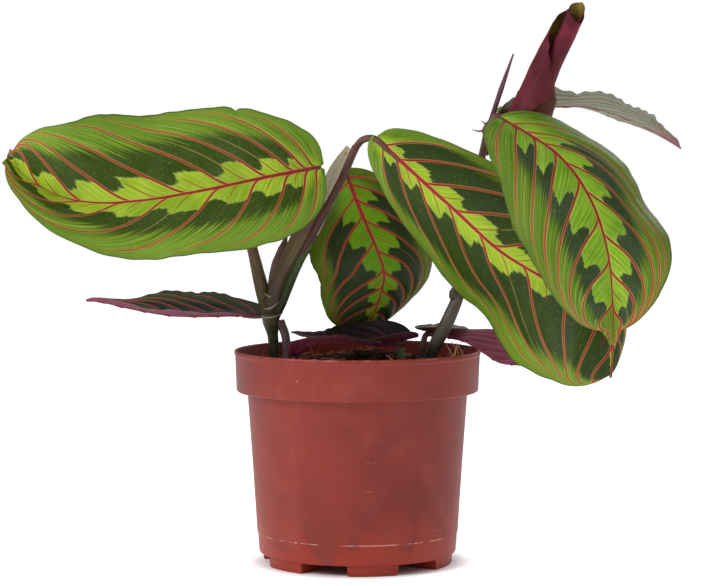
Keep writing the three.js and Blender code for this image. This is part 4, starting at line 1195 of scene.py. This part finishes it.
def cut_drains(piece):
    """Bores the drain holes through the base, each half way between two feet."""
    drills = Piece("drills")
    for k in range(FOOT_COUNT):
        turn = math.radians(FIRST_FOOT_ANGLE + 360 / FOOT_COUNT * (k + 0.5))
        x, y = DRAIN_CIRCLE * math.cos(turn), DRAIN_CIRCLE * math.sin(turn)
        drill = [[x, y, z] for z in (2, FOOT_HEIGHT, 10)]
        add_tube(drills, drill, [DRAIN_RADIUS, DRAIN_RADIUS], 4, 32)
    cutter = drills.build([])
    bore = piece.modifiers.new("bore", "BOOLEAN")
    bore.operation = "DIFFERENCE"
    bore.solver = "EXACT"
    bore.object = cutter
    graph = bpy.context.evaluated_depsgraph_get()
    mesh = bpy.data.meshes.new_from_object(piece.evaluated_get(graph))
    piece.modifiers.clear()
    piece.data = mesh
    bpy.data.objects.remove(cutter)


def add_pot():
    piece = Piece("pot_body")
    lathe(piece, pot_profile(), POT_SEGMENTS)
    for k in range(FOOT_COUNT):
        add_foot(piece, FIRST_FOOT_ANGLE + 360 / FOOT_COUNT * k)
    pot = piece.build([pot_plastic()], node="pot")
    cut_drains(pot)
    pot.data.set_sharp_from_angle(angle=math.radians(SHARP_ANGLE))


add_pot()


# The soil

SOIL_RINGS = 66
SOIL_SIDES = 190
HEAP_HEIGHT = 4.5
HEAP_PLACE = (4, 12)
HEAP_REACH = (20, 13)


def soil_height(x, y):
    """The soil's surface without its clods: a low crown with gentle bumps and a small heap on it."""
    r = np.hypot(x, y) / (RIM_RADIUS - WALL)
    bumps = 0.9 * np.sin(0.23 * x + 1.3) * np.cos(0.19 * y - 0.4) + 0.6 * np.sin(0.41 * x - 0.37 * y)
    heap = HEAP_HEIGHT * bell(x - HEAP_PLACE[0], HEAP_REACH[0]) * bell(y - HEAP_PLACE[1], HEAP_REACH[1])
    return SOIL_EDGE_Z + SOIL_CROWN * (1 - r * r) + bumps * 0.7 * (1 - r ** 6) + heap


def clods(places):
    """Lumps of peat: a rough height for each place."""
    rough = [noise.turbulence(Vector((x * 0.16, y * 0.16, 3.0)), 4, False) for x, y in places]
    lumps = [noise.cell(Vector((x * 0.45, y * 0.45, 1.0))) for x, y in places]
    return np.array(rough) * 1.5 - 0.9 + np.array(lumps) * 0.35


def peat():
    """Dark peat with paler crumbs and fibres in it."""
    paint = Paint("peat")
    broad = paint.mottle(90.0, 3.0, 0.6)
    grit = paint.mottle(900.0, 4.0, 0.7)
    lumps = paint.cells(paint.place(), 420.0)
    fibre = paint.noise(paint.place(scale=(1, 5, 1), turn=(0, 0, 0.7)), 420.0, 2.0, 0.5)
    ground = paint.mix(broad.rise(0.3, 0.7), rgb(38, 24, 20), rgb(66, 42, 34))
    colour = paint.coats(
        ground, (lumps.fall(0.1, 0.5) * 0.6, rgb(24, 15, 14)), (grit.rise(0.6, 0.76) * 0.7, rgb(118, 78, 60)),
        (fibre.rise(0.7, 0.76) * 0.6, rgb(150, 106, 76)))
    normal = paint.bump(grit * 0.7 + lumps * 0.5, 0.9, 0.0009)
    return paint.finish(colour, 0.8 + grit * 0.15, normal, Specular_IOR_Level=0.2)


def peat_crumb():
    """A single crumb of peat, from dark to reddish brown."""
    paint = Paint("peat_crumb")
    broad = paint.mottle(260.0, 3.0, 0.6)
    grit = paint.mottle(1500.0, 3.0, 0.7)
    ground = paint.mix(broad.rise(0.34, 0.62), rgb(30, 18, 17), rgb(82, 50, 40))
    colour = paint.mix(grit.rise(0.56, 0.74) * 0.5, ground, rgb(126, 84, 64))
    normal = paint.bump(grit, 0.8, 0.0004)
    return paint.finish(colour, 0.84 + grit * 0.1, normal, Specular_IOR_Level=0.2)


def husk(name, dark, light):
    """Bark, straw and coir: a warm grain with dark specks."""
    paint = Paint(name)
    grain = paint.noise(paint.place(scale=(1, 4, 1)), 500.0, 3.0, 0.6)
    spots = paint.mottle(1300.0, 2.0, 0.6)
    ground = paint.mix(grain.rise(0.3, 0.7), dark, light)
    colour = paint.mix(spots.rise(0.58, 0.72) * 0.6, ground, rgb(48, 26, 22))
    normal = paint.bump(grain + spots * 0.5, 0.6, 0.0004)
    return paint.finish(colour, 0.7 + spots * 0.15, normal, Specular_IOR_Level=0.25)


class Tree:
    """A Geometry Nodes tree with named inputs, run once on an object and then removed."""

    def __init__(self, name, **inputs):
        self.group = bpy.data.node_groups.new(name, "GeometryNodeTree")
        face = self.group.interface
        face.new_socket("Geometry", in_out="INPUT", socket_type="NodeSocketGeometry")
        face.new_socket("Geometry", in_out="OUTPUT", socket_type="NodeSocketGeometry")
        self.values = inputs
        kinds = {float: "NodeSocketFloat", int: "NodeSocketInt"}
        self.keys = {}
        for key, value in inputs.items():
            self.keys[key] = face.new_socket(key, in_out="INPUT", socket_type=kinds[type(value)]).identifier
        self.entry = self.group.nodes.new("NodeGroupInput")

    def given(self, key):
        return self.entry.outputs[key]

    def add(self, kind, settings=None, sockets=None, out=0):
        """A node of that kind, its settings first and then its sockets' values or links."""
        node = self.group.nodes.new(kind)
        for key, value in (settings or {}).items():
            setattr(node, key, value)
        for key, value in (sockets or {}).items():
            if isinstance(value, bpy.types.NodeSocket):
                self.group.links.new(value, node.inputs[key])
            else:
                node.inputs[key].default_value = value
        return node.outputs[out]

    def run(self, holder, result, material):
        """Ends the tree in real geometry and a material, and returns what it makes as a mesh."""
        real = self.add("GeometryNodeRealizeInstances", {}, {"Geometry": result})
        painted = self.add("GeometryNodeSetMaterial", {}, {"Geometry": real, "Material": material})
        exit_node = self.group.nodes.new("NodeGroupOutput")
        self.group.links.new(painted, exit_node.inputs["Geometry"])
        work = holder.modifiers.new(self.group.name, "NODES")
        work.node_group = self.group
        for key, value in self.values.items():
            work[self.keys[key]] = value
        graph = bpy.context.evaluated_depsgraph_get()
        mesh = bpy.data.meshes.new_from_object(holder.evaluated_get(graph))
        holder.modifiers.remove(work)
        return mesh


def strew(name, bed, material, density, size, seed, segments, rings, stretch, roughen, tilt=1.0):
    """Copies of a small uneven lump over a bed, turned and sized at random."""
    tree = Tree(name, Density=float(density), Size=float(size), Seed=int(seed))
    seeded = {"Seed": tree.given("Seed")}
    spread = {"Mesh": tree.given("Geometry"), "Density": tree.given("Density"), **seeded}
    scatter = tree.add("GeometryNodeDistributePointsOnFaces", {"distribute_method": "RANDOM"}, spread)
    lump = tree.add("GeometryNodeMeshUVSphere", {}, {"Segments": segments, "Rings": rings, "Radius": 1.0})
    uneven = tree.add("ShaderNodeTexNoise", {}, {"Scale": 1.3, "Detail": 1.0}, out="Color")
    centred = tree.add("ShaderNodeVectorMath", {"operation": "SUBTRACT"}, {0: uneven, 1: (0.5, 0.5, 0.5)})
    push = tree.add("ShaderNodeVectorMath", {"operation": "SCALE"}, {0: centred, "Scale": roughen})
    lump = tree.add("GeometryNodeSetPosition", {}, {"Geometry": lump, "Offset": push})
    lump = tree.add("GeometryNodeTransform", {}, {"Geometry": lump, "Scale": stretch})
    turns = {0: (-tilt, -tilt, -math.pi), 1: (tilt, tilt, math.pi), **seeded}
    turn = tree.add("FunctionNodeRandomValue", {"data_type": "FLOAT_VECTOR"}, turns)
    grow = tree.add("FunctionNodeRandomValue", {"data_type": "FLOAT"}, {2: 0.35, 3: 1.0, **seeded}, out=1)
    scale = tree.add("ShaderNodeMath", {"operation": "MULTIPLY"}, {0: grow, 1: tree.given("Size")})
    placed = tree.add("GeometryNodeInstanceOnPoints", {},
                      {"Points": scatter, "Instance": lump, "Rotation": turn, "Scale": scale})
    return tree.run(bed, placed, material)


def soil_rings():
    """The rough surface as rings of points, all the rings down to the pot's floor, and the floor's height."""
    edge = BAND_RADIUS - WALL - GAP
    ledge = BAND_BOTTOM + WALL + GAP
    bottom = FOOT_HEIGHT + WALL + GAP
    foot = BODY_FOOT_RADIUS - WALL - GAP
    r = np.linspace(0, edge, SOIL_RINGS + 1)[1:, None]
    angle = np.linspace(0, 2 * math.pi, SOIL_SIDES, endpoint=False)
    x, y = r * np.cos(angle), r * np.sin(angle)
    lift = clods(np.stack([x.ravel(), y.ravel()], 1)).reshape(x.shape) * np.clip((edge - r) / 2.5, 0.15, 1)
    top = np.stack([x, y, soil_height(x, y) + lift], -1)
    neck = BODY_TOP_RADIUS - WALL - GAP
    sides = [(edge, ledge), (neck, ledge - 0.4), (foot, bottom + 1.6), (foot - 1.6, bottom)]
    below = [np.stack([radius * np.cos(angle), radius * np.sin(angle), np.full(SOIL_SIDES, z)], -1)
             for radius, z in sides]
    return top, np.concatenate([top, below]), bottom


def add_soil():
    top, rings, bottom = soil_rings()
    piece = Piece("soil_peat")
    middles = [[0, 0, soil_height(0.0, 0.0)], [0, 0, bottom]]
    first = piece.points(np.concatenate([rings.reshape(-1, 3), middles]))
    pole = len(rings) * SOIL_SIDES
    piece.faces(ring_faces(len(rings), SOIL_SIDES, flip=True), first)
    piece.faces(cap_faces(pole, 0, SOIL_SIDES), first)
    piece.faces(cap_faces(pole + 1, pole - SOIL_SIDES, SOIL_SIDES, flip=True), first)
    piece.build([peat()], node="soil")

    # The crumbs and chips lie on the surface away from the pot's wall
    bed = Piece("bed")
    open_rings = top[:-3]
    bed.faces(ring_faces(len(open_rings), SOIL_SIDES, flip=True), bed.points(open_rings))
    ground = bed.build([])
    crumbs = strew("crumbs", ground, peat_crumb(), density=260000, size=0.0011, seed=5,
                   segments=7, rings=5, stretch=(1, 0.85, 0.7), roughen=0.9)
    finished("soil_crumbs", crumbs, [], None)
    bark = husk("bark_chip", rgb(104, 46, 38), rgb(150, 84, 66))
    chips = strew("chips", ground, bark, density=9000, size=0.0022, seed=8,
                  segments=6, rings=4, stretch=(1.4, 0.9, 0.28), roughen=0.8, tilt=0.5)
    finished("soil_chips", chips, [], None)
    bpy.data.objects.remove(ground)
    add_fibres()


# Each tuft is where it stands, how many strands it has, their reach and how far they lean.
TUFTS = [((46, -14), 5, 15, 0.5), ((51, -4), 4, 12, 0.6), ((-10, -44), 4, 8, 0.9), ((19, -38), 3, 8, 1.0),
         ((44, 20), 4, 11, 0.7), ((-48, 14), 3, 7, 1.1), ((8, 34), 4, 8, 1.0), ((-22, 30), 3, 8, 1.0)]
LOOSE_STRANDS = 110
STRAND_RADIUS = 54
STRAND_LIMIT = 55.5


def add_fibres():
    """Coir and straw strands: tufts that stand up and many loose ones that lie on the peat."""
    draw = np.random.default_rng(17)
    piece = Piece("soil_fibres")
    for (x, y), count, reach, lean in TUFTS:
        for _ in range(count):
            turn = draw.uniform(0, 2 * math.pi)
            high = reach * draw.uniform(0.5, 1.0)
            away = high * lean * draw.uniform(0.4, 1.0)
            foot = np.array([x, y, soil_height(x, y)])
            bend = draw.uniform(-1.5, 1.5, 2)
            lean_out = np.array([away * math.cos(turn), away * math.sin(turn), 0])
            half_way = foot + 0.4 * lean_out + [*bend, high * 0.5]
            line = [foot - [0, 0, 1.5], half_way, foot + lean_out + [0, 0, high]]
            add_tube(piece, line, [0.28, 0.22, 0.12], 10, 6)
    for _ in range(LOOSE_STRANDS):
        radius = STRAND_RADIUS * math.sqrt(draw.uniform(0, 1))
        turn = draw.uniform(0, 2 * math.pi)
        x, y = radius * math.cos(turn), radius * math.sin(turn)
        way = draw.uniform(0, 2 * math.pi)
        long = draw.uniform(3, 9)
        line = []
        for k in (-1, -0.3, 0.4, 1):
            px = x + k * long / 2 * math.cos(way) + draw.uniform(-0.6, 0.6)
            py = y + k * long / 2 * math.sin(way) + draw.uniform(-0.6, 0.6)
            inside = min(1.0, STRAND_LIMIT / math.hypot(px, py))
            px, py = px * inside, py * inside
            line.append([px, py, soil_height(px, py) + 0.5 + draw.uniform(-0.3, 0.9)])
        add_tube(piece, line, [0.16, 0.24, 0.22, 0.12], 8, 5)
    straw = husk("straw", rgb(166, 104, 66), rgb(206, 150, 104))
    piece.build([straw])


add_soil()


# The stems

FOOT_Z = SOIL_EDGE_Z - STEM_DEPTH
DEEP = rgb(30, 36, 16)
OLIVE = rgb(78, 74, 34)
PLUM = rgb(80, 46, 44)
SHEATH = rgb(106, 84, 60)
# A pale straw colour for the scar rings, brightened to stand for a glint on them: partly a painted glint
STRAW_GLINT = rgb(170, 158, 118)
INK = rgb(32, 24, 26)

# The tubes of each shoot, in the words of add_tube. The left one: the stem up to its swollen joint, the short
# sheath, the long sheath, the rib along it, the green strip in it, the bract and the thin side stem.
STEM_LEFT = [
    {"points": [[-40, 0, FOOT_Z], [-40, 0, 90], [-40.7, 0, 104], [-41.4, 0, 112], [-42.6, 0, 122]],
     "wide": [2.6, 2.6, 2.6, 2.55, 2.5, 2.5, 2.5, 2.7, 4.1, 4.5], "steps": 70, "sides": 28, "ribs": 0.012,
     "tint": [(0, INK), (0.5, DEEP), (0.75, rgb(44, 48, 18)), (0.9, rgb(62, 60, 26)), (1, rgb(66, 58, 36))]},
    {"points": [[-41.5, 0, 116], [-44.5, 2, 126], [-47.8, 4, 138], [-50.5, 6.5, 149], [-53.2, 8.5, 159]],
     "wide": [3.0, 3.6, 3.5, 3.1, 2.7, 2.5], "deep": [3.0, 3.0, 2.8, 2.6, 2.5, 2.4],
     "steps": 80, "sides": 28, "ribs": 0.02,
     "tint": [(0, OLIVE), (0.3, rgb(84, 72, 40)), (0.7, rgb(104, 86, 58)), (1, rgb(84, 60, 50))]},
    {"points": [[-42, 0, 119], [-41, -1, 128], [-37.2, -2, 140.5], [-28.6, -1.6, 157], [-18.5, -0.5, 174],
                [-9.6, 0, 190], [-4.4, 0, 201.5]],
     "wide": [2.8, 3.9, 3.5, 3.6, 4.2, 4.9, 4.8, 4.4, 4.0, 3.4, 1.2],
     "deep": [2.8, 3.7, 3.5, 3.3, 3.0, 2.7, 2.3, 2.0, 1.8, 1.5, 0.9],
     "steps": 130, "sides": 36, "ribs": 0.025,
     "tint": [(0, rgb(52, 46, 28)), (0.18, rgb(80, 60, 48)), (0.4, rgb(96, 82, 50)), (0.6, rgb(94, 68, 60)),
              (0.8, SHEATH), (1, PLUM)]},
    {"points": [[-34, -1.5, 136], [-24.5, -2.2, 156], [-15.2, -1.6, 173], [-6.4, -1.0, 190],
                [-2.2, -0.6, 199.5], [-0.6, -1.0, 202.8]],
     "wide": [1.2, 2.3, 2.3, 2.1, 2.0, 1.9], "steps": 100, "sides": 24, "ribs": 0.015,
     "tint": [(0, rgb(60, 44, 38)), (0.3, PLUM), (0.8, rgb(84, 48, 42)), (1, rgb(96, 56, 48))]},
    {"points": [[-41, -1.0, 117], [-36.8, -1.6, 127], [-32.6, -2.2, 138], [-28, -2.4, 148], [-23, -2, 156],
                [-19.2, -1.2, 164]],
     "wide": [1.8, 2.4, 2.6, 2.5, 2.1, 0.5], "deep": [1.6, 2.2, 2.3, 2.2, 1.8, 0.5],
     "steps": 70, "sides": 20, "ribs": 0.015,
     "tint": [(0, DEEP), (0.4, rgb(46, 62, 24)), (0.8, rgb(70, 90, 34)), (1, PLUM)]},
    {"points": [[-42.2, 1.6, 124], [-41.4, 2.4, 134], [-39.4, 3.0, 144], [-36.4, 3.2, 153],
                [-34.4, 3.2, 160]],
     "wide": [1.6, 2.3, 2.7, 2.9, 2.3, 0.4], "deep": [1.4, 1.6, 1.5, 1.4, 1.2, 0.4],
     "steps": 60, "sides": 20, "ribs": 0.02,
     "tint": [(0, PLUM), (0.5, rgb(112, 84, 80)), (1, rgb(84, 66, 56))]},
    {"points": [[-34.5, -3, FOOT_Z], [-34.5, -3, 90], [-34.5, -3, 104], [-35.1, -2.4, 111],
                [-37.7, -0.6, 118]],
     "wide": [1.5, 1.5, 1.6, 1.8, 2.1, 2.2], "steps": 60, "sides": 20, "ribs": 0.02,
     "tint": [(0, INK), (0.5, rgb(108, 88, 94)), (0.8, rgb(98, 74, 80)), (1, rgb(80, 66, 56))]},
]

# The right one: the stem, the sheath at its bend, the side bud and the crown
STEM_RIGHT = [
    {"points": [[34.5, 0, FOOT_Z], [34.5, 0, 86], [34.5, 0, 97], [37.5, 0, 106.5], [43.5, 0, 118],
                [50.5, 1.2, 134], [55, 2, 160], [59, 2, 190], [63.4, 0.6, 211]],
     "wide": [2.7, 2.7, 2.65, 2.8, 2.9, 2.7, 2.3, 1.9, 1.8, 2.0], "steps": 150, "sides": 26, "ribs": 0.02,
     "tint": [(0, INK), (0.3, rgb(58, 58, 40)), (0.45, rgb(70, 74, 44)), (0.6, rgb(78, 62, 56)),
              (1, rgb(96, 66, 62))]},
    {"points": [[35.7, -0.6, 99], [39.1, -0.9, 107], [44.5, -0.9, 118.5], [49.6, 0.2, 131], [50.6, 0.9, 140]],
     "wide": [1.6, 2.7, 3.1, 2.6, 0.5], "deep": [1.4, 2.2, 2.5, 2.1, 0.5],
     "steps": 70, "sides": 22, "ribs": 0.03,
     "tint": [(0, rgb(52, 46, 44)), (0.5, rgb(82, 76, 64)), (1, rgb(76, 52, 56))]},
    {"points": [[46.4, 0, 127], [47.0, -0.2, 131.5], [47.8, 0, 137]], "wide": [0.6, 2.3, 2.4, 1.2, 0.3],
     "steps": 30, "sides": 18, "tint": [(0, rgb(70, 60, 48)), (1, rgb(72, 46, 52))]},
    {"points": [[63, 0.8, 206.5], [64, 0.2, 211.5], [64.6, 0, 216]], "wide": [1.6, 3.2, 3.3, 2.4, 0.7],
     "steps": 40, "sides": 22, "ribs": 0.02,
     "tint": [(0, rgb(96, 66, 60)), (0.6, rgb(104, 76, 60)), (1, rgb(88, 58, 56))]},
]
STEM_STUB = [
    {"points": [[21, -8, FOOT_Z], [21, -8, 85], [21, -8, 95], [21.1, -8, 105.4]],
     "wide": [2.2, 2.2, 2.15, 2.1, 2.0], "steps": 50, "sides": 26, "ribs": 0.03,
     "tint": [(0, INK), (0.6, rgb(96, 108, 70)), (1, rgb(120, 128, 84))]},
]

# The papery wing of the long sheath, between its free edge and its root
WING_EDGE = [[-25.5, -1.2, 158], [-22, -1.4, 168.8], [-17.6, -1.4, 180.9], [-15, -1.2, 189.6],
             [-10.6, -0.8, 196.8], [-5.4, -0.6, 203.2]]
WING_ROOT = [[-19, -1.8, 160], [-14.4, -1.8, 169.5], [-9.2, -1.6, 180.5], [-6.4, -1.4, 188.5],
             [-4.2, -1.2, 195], [-3.0, -0.9, 201.5]]
WING_ROWS = 50
WING_COLUMNS = 11
WING_THICKNESS = 0.35

# The scars round the left joint: the middle's height, the radius, and how far the ring tilts and sags
SCAR_MIDDLE = (-41.4, -0.6)
SCARS = ((127.4, 4.0, 2.2, 2.4), (131.6, 3.7, -0.4, 1.6), (121.6, 4.9, 0.8, 1.4))
# The scar rings' pale middle is partly their own straw colour and partly a painted glint
SCAR_GLINT_TINT = [(0, OLIVE), (0.4, STRAW_GLINT), (0.7, rgb(148, 120, 104)), (1, OLIVE)]


def add_wing(piece):
    """A thin membrane between two lines of points, closed all round, with a crumpled free edge."""
    edge, root = Path(WING_EDGE), Path(WING_ROOT)
    t = np.linspace(0, 1, WING_ROWS)
    u = np.linspace(0, 1, WING_COLUMNS)
    sheet = edge.at(t)[:, None] * (1 - u)[None, :, None] + root.at(t)[:, None] * u[None, :, None]
    crumple = waves(5, 5, 3, 9)(t)[:, None] * (u ** 2)[None] * 0.35
    swell = np.sin(math.pi * u) * np.sin(math.pi * np.clip(t * 1.1, 0, 1))[:, None]
    sheet[..., 1] -= swell + crumple
    normal = unit(np.cross(np.gradient(sheet, axis=1), np.gradient(sheet, axis=0)))
    half = normal * WING_THICKNESS / 2
    count = WING_ROWS * WING_COLUMNS
    run = np.repeat(t * edge.length, WING_COLUMNS)
    section = np.stack([np.tile(u * 6, WING_ROWS), np.zeros(count), run], 1)
    add_sheet(piece, sheet + half, sheet - half, (1, 1), section=section)


def add_scars(piece):
    """Thin rings half way round the swollen joint, their pale middle partly scar colour and partly painted
    glint.
    """
    angle = np.linspace(math.pi * 0.95, math.pi * 2.05, 14)
    c, s = np.cos(angle), np.sin(angle)
    for z, radius, tilt, sag in SCARS:
        ring = np.stack([radius * c, radius * s, z + tilt * c + sag * s], 1) + [*SCAR_MIDDLE, 0]
        add_tube(piece, ring, [0.15, 0.45, 0.5, 0.4, 0.15], 60, 8, tint=SCAR_GLINT_TINT)


def add_stems():
    skins = [tinted_skin("stem_skin"), wing_skin()]
    plans = (("stem_left_sheaths", "stem_left", STEM_LEFT), ("stem_right_stalk", "stem_right", STEM_RIGHT),
             ("stem_stub_stalk", "stem_stub", STEM_STUB))
    for name, node, tubes in plans:
        piece = Piece(name)
        for tube in tubes:
            add_tube(piece, **tube)
        left = node == "stem_left"
        if left:
            add_wing(piece)
            add_scars(piece)
        piece.build(skins if left else skins[:1], node=node)


add_stems()


# The rolled young leaf and the spike of the next one

# The tables run from the base of the axis to its top. left and right are the radii of the outermost turn,
# inner the radius of the turns inside it as a share, shift how far these lie to the right, and seam the angle
# of the sheet's outer edge. fold is the angle of a crease at shares of the axis. Angles are degrees from the
# front.
ROLL = {
    "axis": [[66, 3.8, 203], [74, 3, 208], [81.5, 1.8, 215], [85.6, 1, 225], [89, 0.2, 236], [94, -1, 247],
             [98.8, -2.4, 257], [107.2, -4.4, 275]],
    "bulb": [[62.2, 3.2, 199], [65, 3.7, 202], [74, 3, 208], [81.5, 1.6, 214.5], [84.4, 1.2, 222]],
    "bulbRadius": [1.3, 1.6, 2.4, 4.2, 6.2, 7.6, 8.4, 8.4, 8.0],
    "start": 0.02,
    "left": [4, 8.4, 9.8, 8.8, 7.6, 6.9, 6.4, 6.1, 5.4],
    "right": [5, 10.5, 11.4, 10.6, 8.0, 7.0, 6.4, 6.1, 5.4],
    "inner": [0.9, 0.9, 0.91, 0.88, 0.66, 0.62, 0.66, 0.7, 0.78],
    "shift": [0, 0, 0.2, 1.0, 1.3, 1.8, 2.1, 1.8, 1.4],
    "seam": [-50, -45, -40, -22, 9, 42, 50, 8, -24, -70, -112, -160, -215],
    "fold": [[0.34, 0.39, 0.42, 0.455, 0.515, 0.59], [-200, -90, -52, -33, -23, -15]],
    "turns": 2.1,
}
ROLL_ROWS = 151
ROLL_COLUMNS = 151
ROLL_OUTSIDE = 0.25
ROLL_INSIDE = 0.2
FOLD_DEPTH = 1.7
FOLD_WIDTH = 3.5
SPIKE = {"points": [[64.4, -1.2, 214.6], [69.3, -3, 230], [75.2, -5, 247.5]], "wide": [1.2, 1.2, 0.35],
         "steps": 70, "sides": 20, "ribs": 0.05}


def roll_skin(name, light, deep, brown):
    """A furled blade's skin: threads and side veins that run round it, and brown where it is dried."""
    paint = Paint(name)
    threads = paint.noise(paint.section((0.25, 0.06, 1.0)), 3.0, 3.0, 0.6)
    broad = paint.mottle(50.0, 3.0, 0.55)
    grain = paint.mottle(1100.0, 2.0, 0.6)
    veins = paint.noise(paint.section((0.35, 0.1, 1.0)), 1.2, 1.0, 0.4)
    ground = paint.mix(broad.rise(0.35, 0.65), light, deep)
    colour = paint.coats(ground, (threads.rise(0.5, 0.72) * 0.55, deep),
                         (veins.rise(0.6, 0.68) * 0.35, brown), (paint.read("browned") * 0.9, brown))
    normal = paint.bump(threads * 0.7 + grain * 0.3, 0.4, 0.0004)
    return paint.finish(colour, 0.56 + grain * 0.16, normal, Specular_IOR_Level=0.22)


def add_roll():
    """A leaf still rolled up: a sheet wound round its axis, loose below and tight above, on a closed bulb."""
    axis = Path(ROLL["axis"])
    u = np.linspace(0, 1, ROLL_COLUMNS)
    share = np.linspace(0, 1, ROLL_ROWS)[:, None]

    # The brim rises and falls as the sheet goes round, and t is each point's share of the axis
    last = -360.0 * ROLL["turns"] - 40
    brim = np.radians(ROLL["seam"][-1] + (last - ROLL["seam"][-1]) * u)
    reach = 0.922 - 0.05 * np.cos(brim) + 0.02 * np.sin(brim) - 0.01 * u
    t = ROLL["start"] + (reach[None] - ROLL["start"]) * share
    seam = smooth(ROLL["seam"], t)
    turned = seam + (last - seam) * u[None]
    angle = np.radians(turned)

    # inward is 0 on the outermost turn and 1 on the next
    inward = np.interp(-turned, [180, 300, 400, 800], [0, 0.9, 1, 1.3])
    along = axis.along(t)
    toward = unit(np.array([0, -1.0, 0]) + along * along[..., 1:2])
    right = -np.cross(toward, along)
    centre = axis.at(t) + right * (smooth(ROLL["shift"], t) * inward)[..., None]
    rightward = 0.5 + 0.5 * np.sin(angle)
    wide = smooth(ROLL["left"], t) * (1 - rightward) + smooth(ROLL["right"], t) * rightward
    narrow = wide * smooth(ROLL["inner"], t)
    radius = wide + (narrow - wide) * np.minimum(inward, 1) - 7 * np.maximum(inward - 1, 0) * (t > 0.5)

    # The crease, only on the outer turn and on the lower part
    crease = 1 / (1 + np.exp(-(turned - np.interp(t, *ROLL["fold"])) / FOLD_WIDTH)) - 1
    crease = crease * np.clip((turned + 115) / 45, 0, 1) * np.clip((0.62 - t) / 0.14, 0, 1)
    radius = radius + FOLD_DEPTH * crease * np.clip(1 - inward, 0, 1)
    out = toward * np.cos(angle)[..., None] + right * np.sin(angle)[..., None]
    outer = centre + out * (radius + ROLL_OUTSIDE)[..., None]
    inner = centre + out * (radius - ROLL_INSIDE)[..., None]

    arc = (u[None] * ROLL["turns"] * 2 * math.pi * wide).ravel()
    hidden = np.clip((-turned - 230) / 40, 0, 1)
    browned = np.maximum(hidden, 0.55 * rightward) * np.clip((0.6 - t) / 0.2, 0, 1)
    section = np.stack([arc, (t * axis.length).ravel(), np.zeros(t.size)], 1)
    piece = Piece("leaf_rolled_blade")
    add_sheet(piece, outer, inner, (0, 1), flip=True, section=section, browned=browned.ravel())
    add_tube(piece, ROLL["bulb"], ROLL["bulbRadius"], 60, 48)
    outside = roll_skin("roll_outside", rgb(124, 33, 54), rgb(80, 16, 32), rgb(72, 36, 14))
    inside = roll_skin("roll_inside", rgb(124, 104, 28), rgb(80, 62, 18), rgb(84, 56, 28))
    piece.build([outside, inside], node="leaf_rolled")


def add_spike():
    piece = Piece("leaf_spike_blade")
    add_tube(piece, **SPIKE)
    dark = stalk_skin("spike_skin", rgb(66, 26, 50), rgb(104, 52, 72), rgb(120, 70, 86), 3.0)
    piece.build([dark], node="leaf_spike")


add_roll()
add_spike()
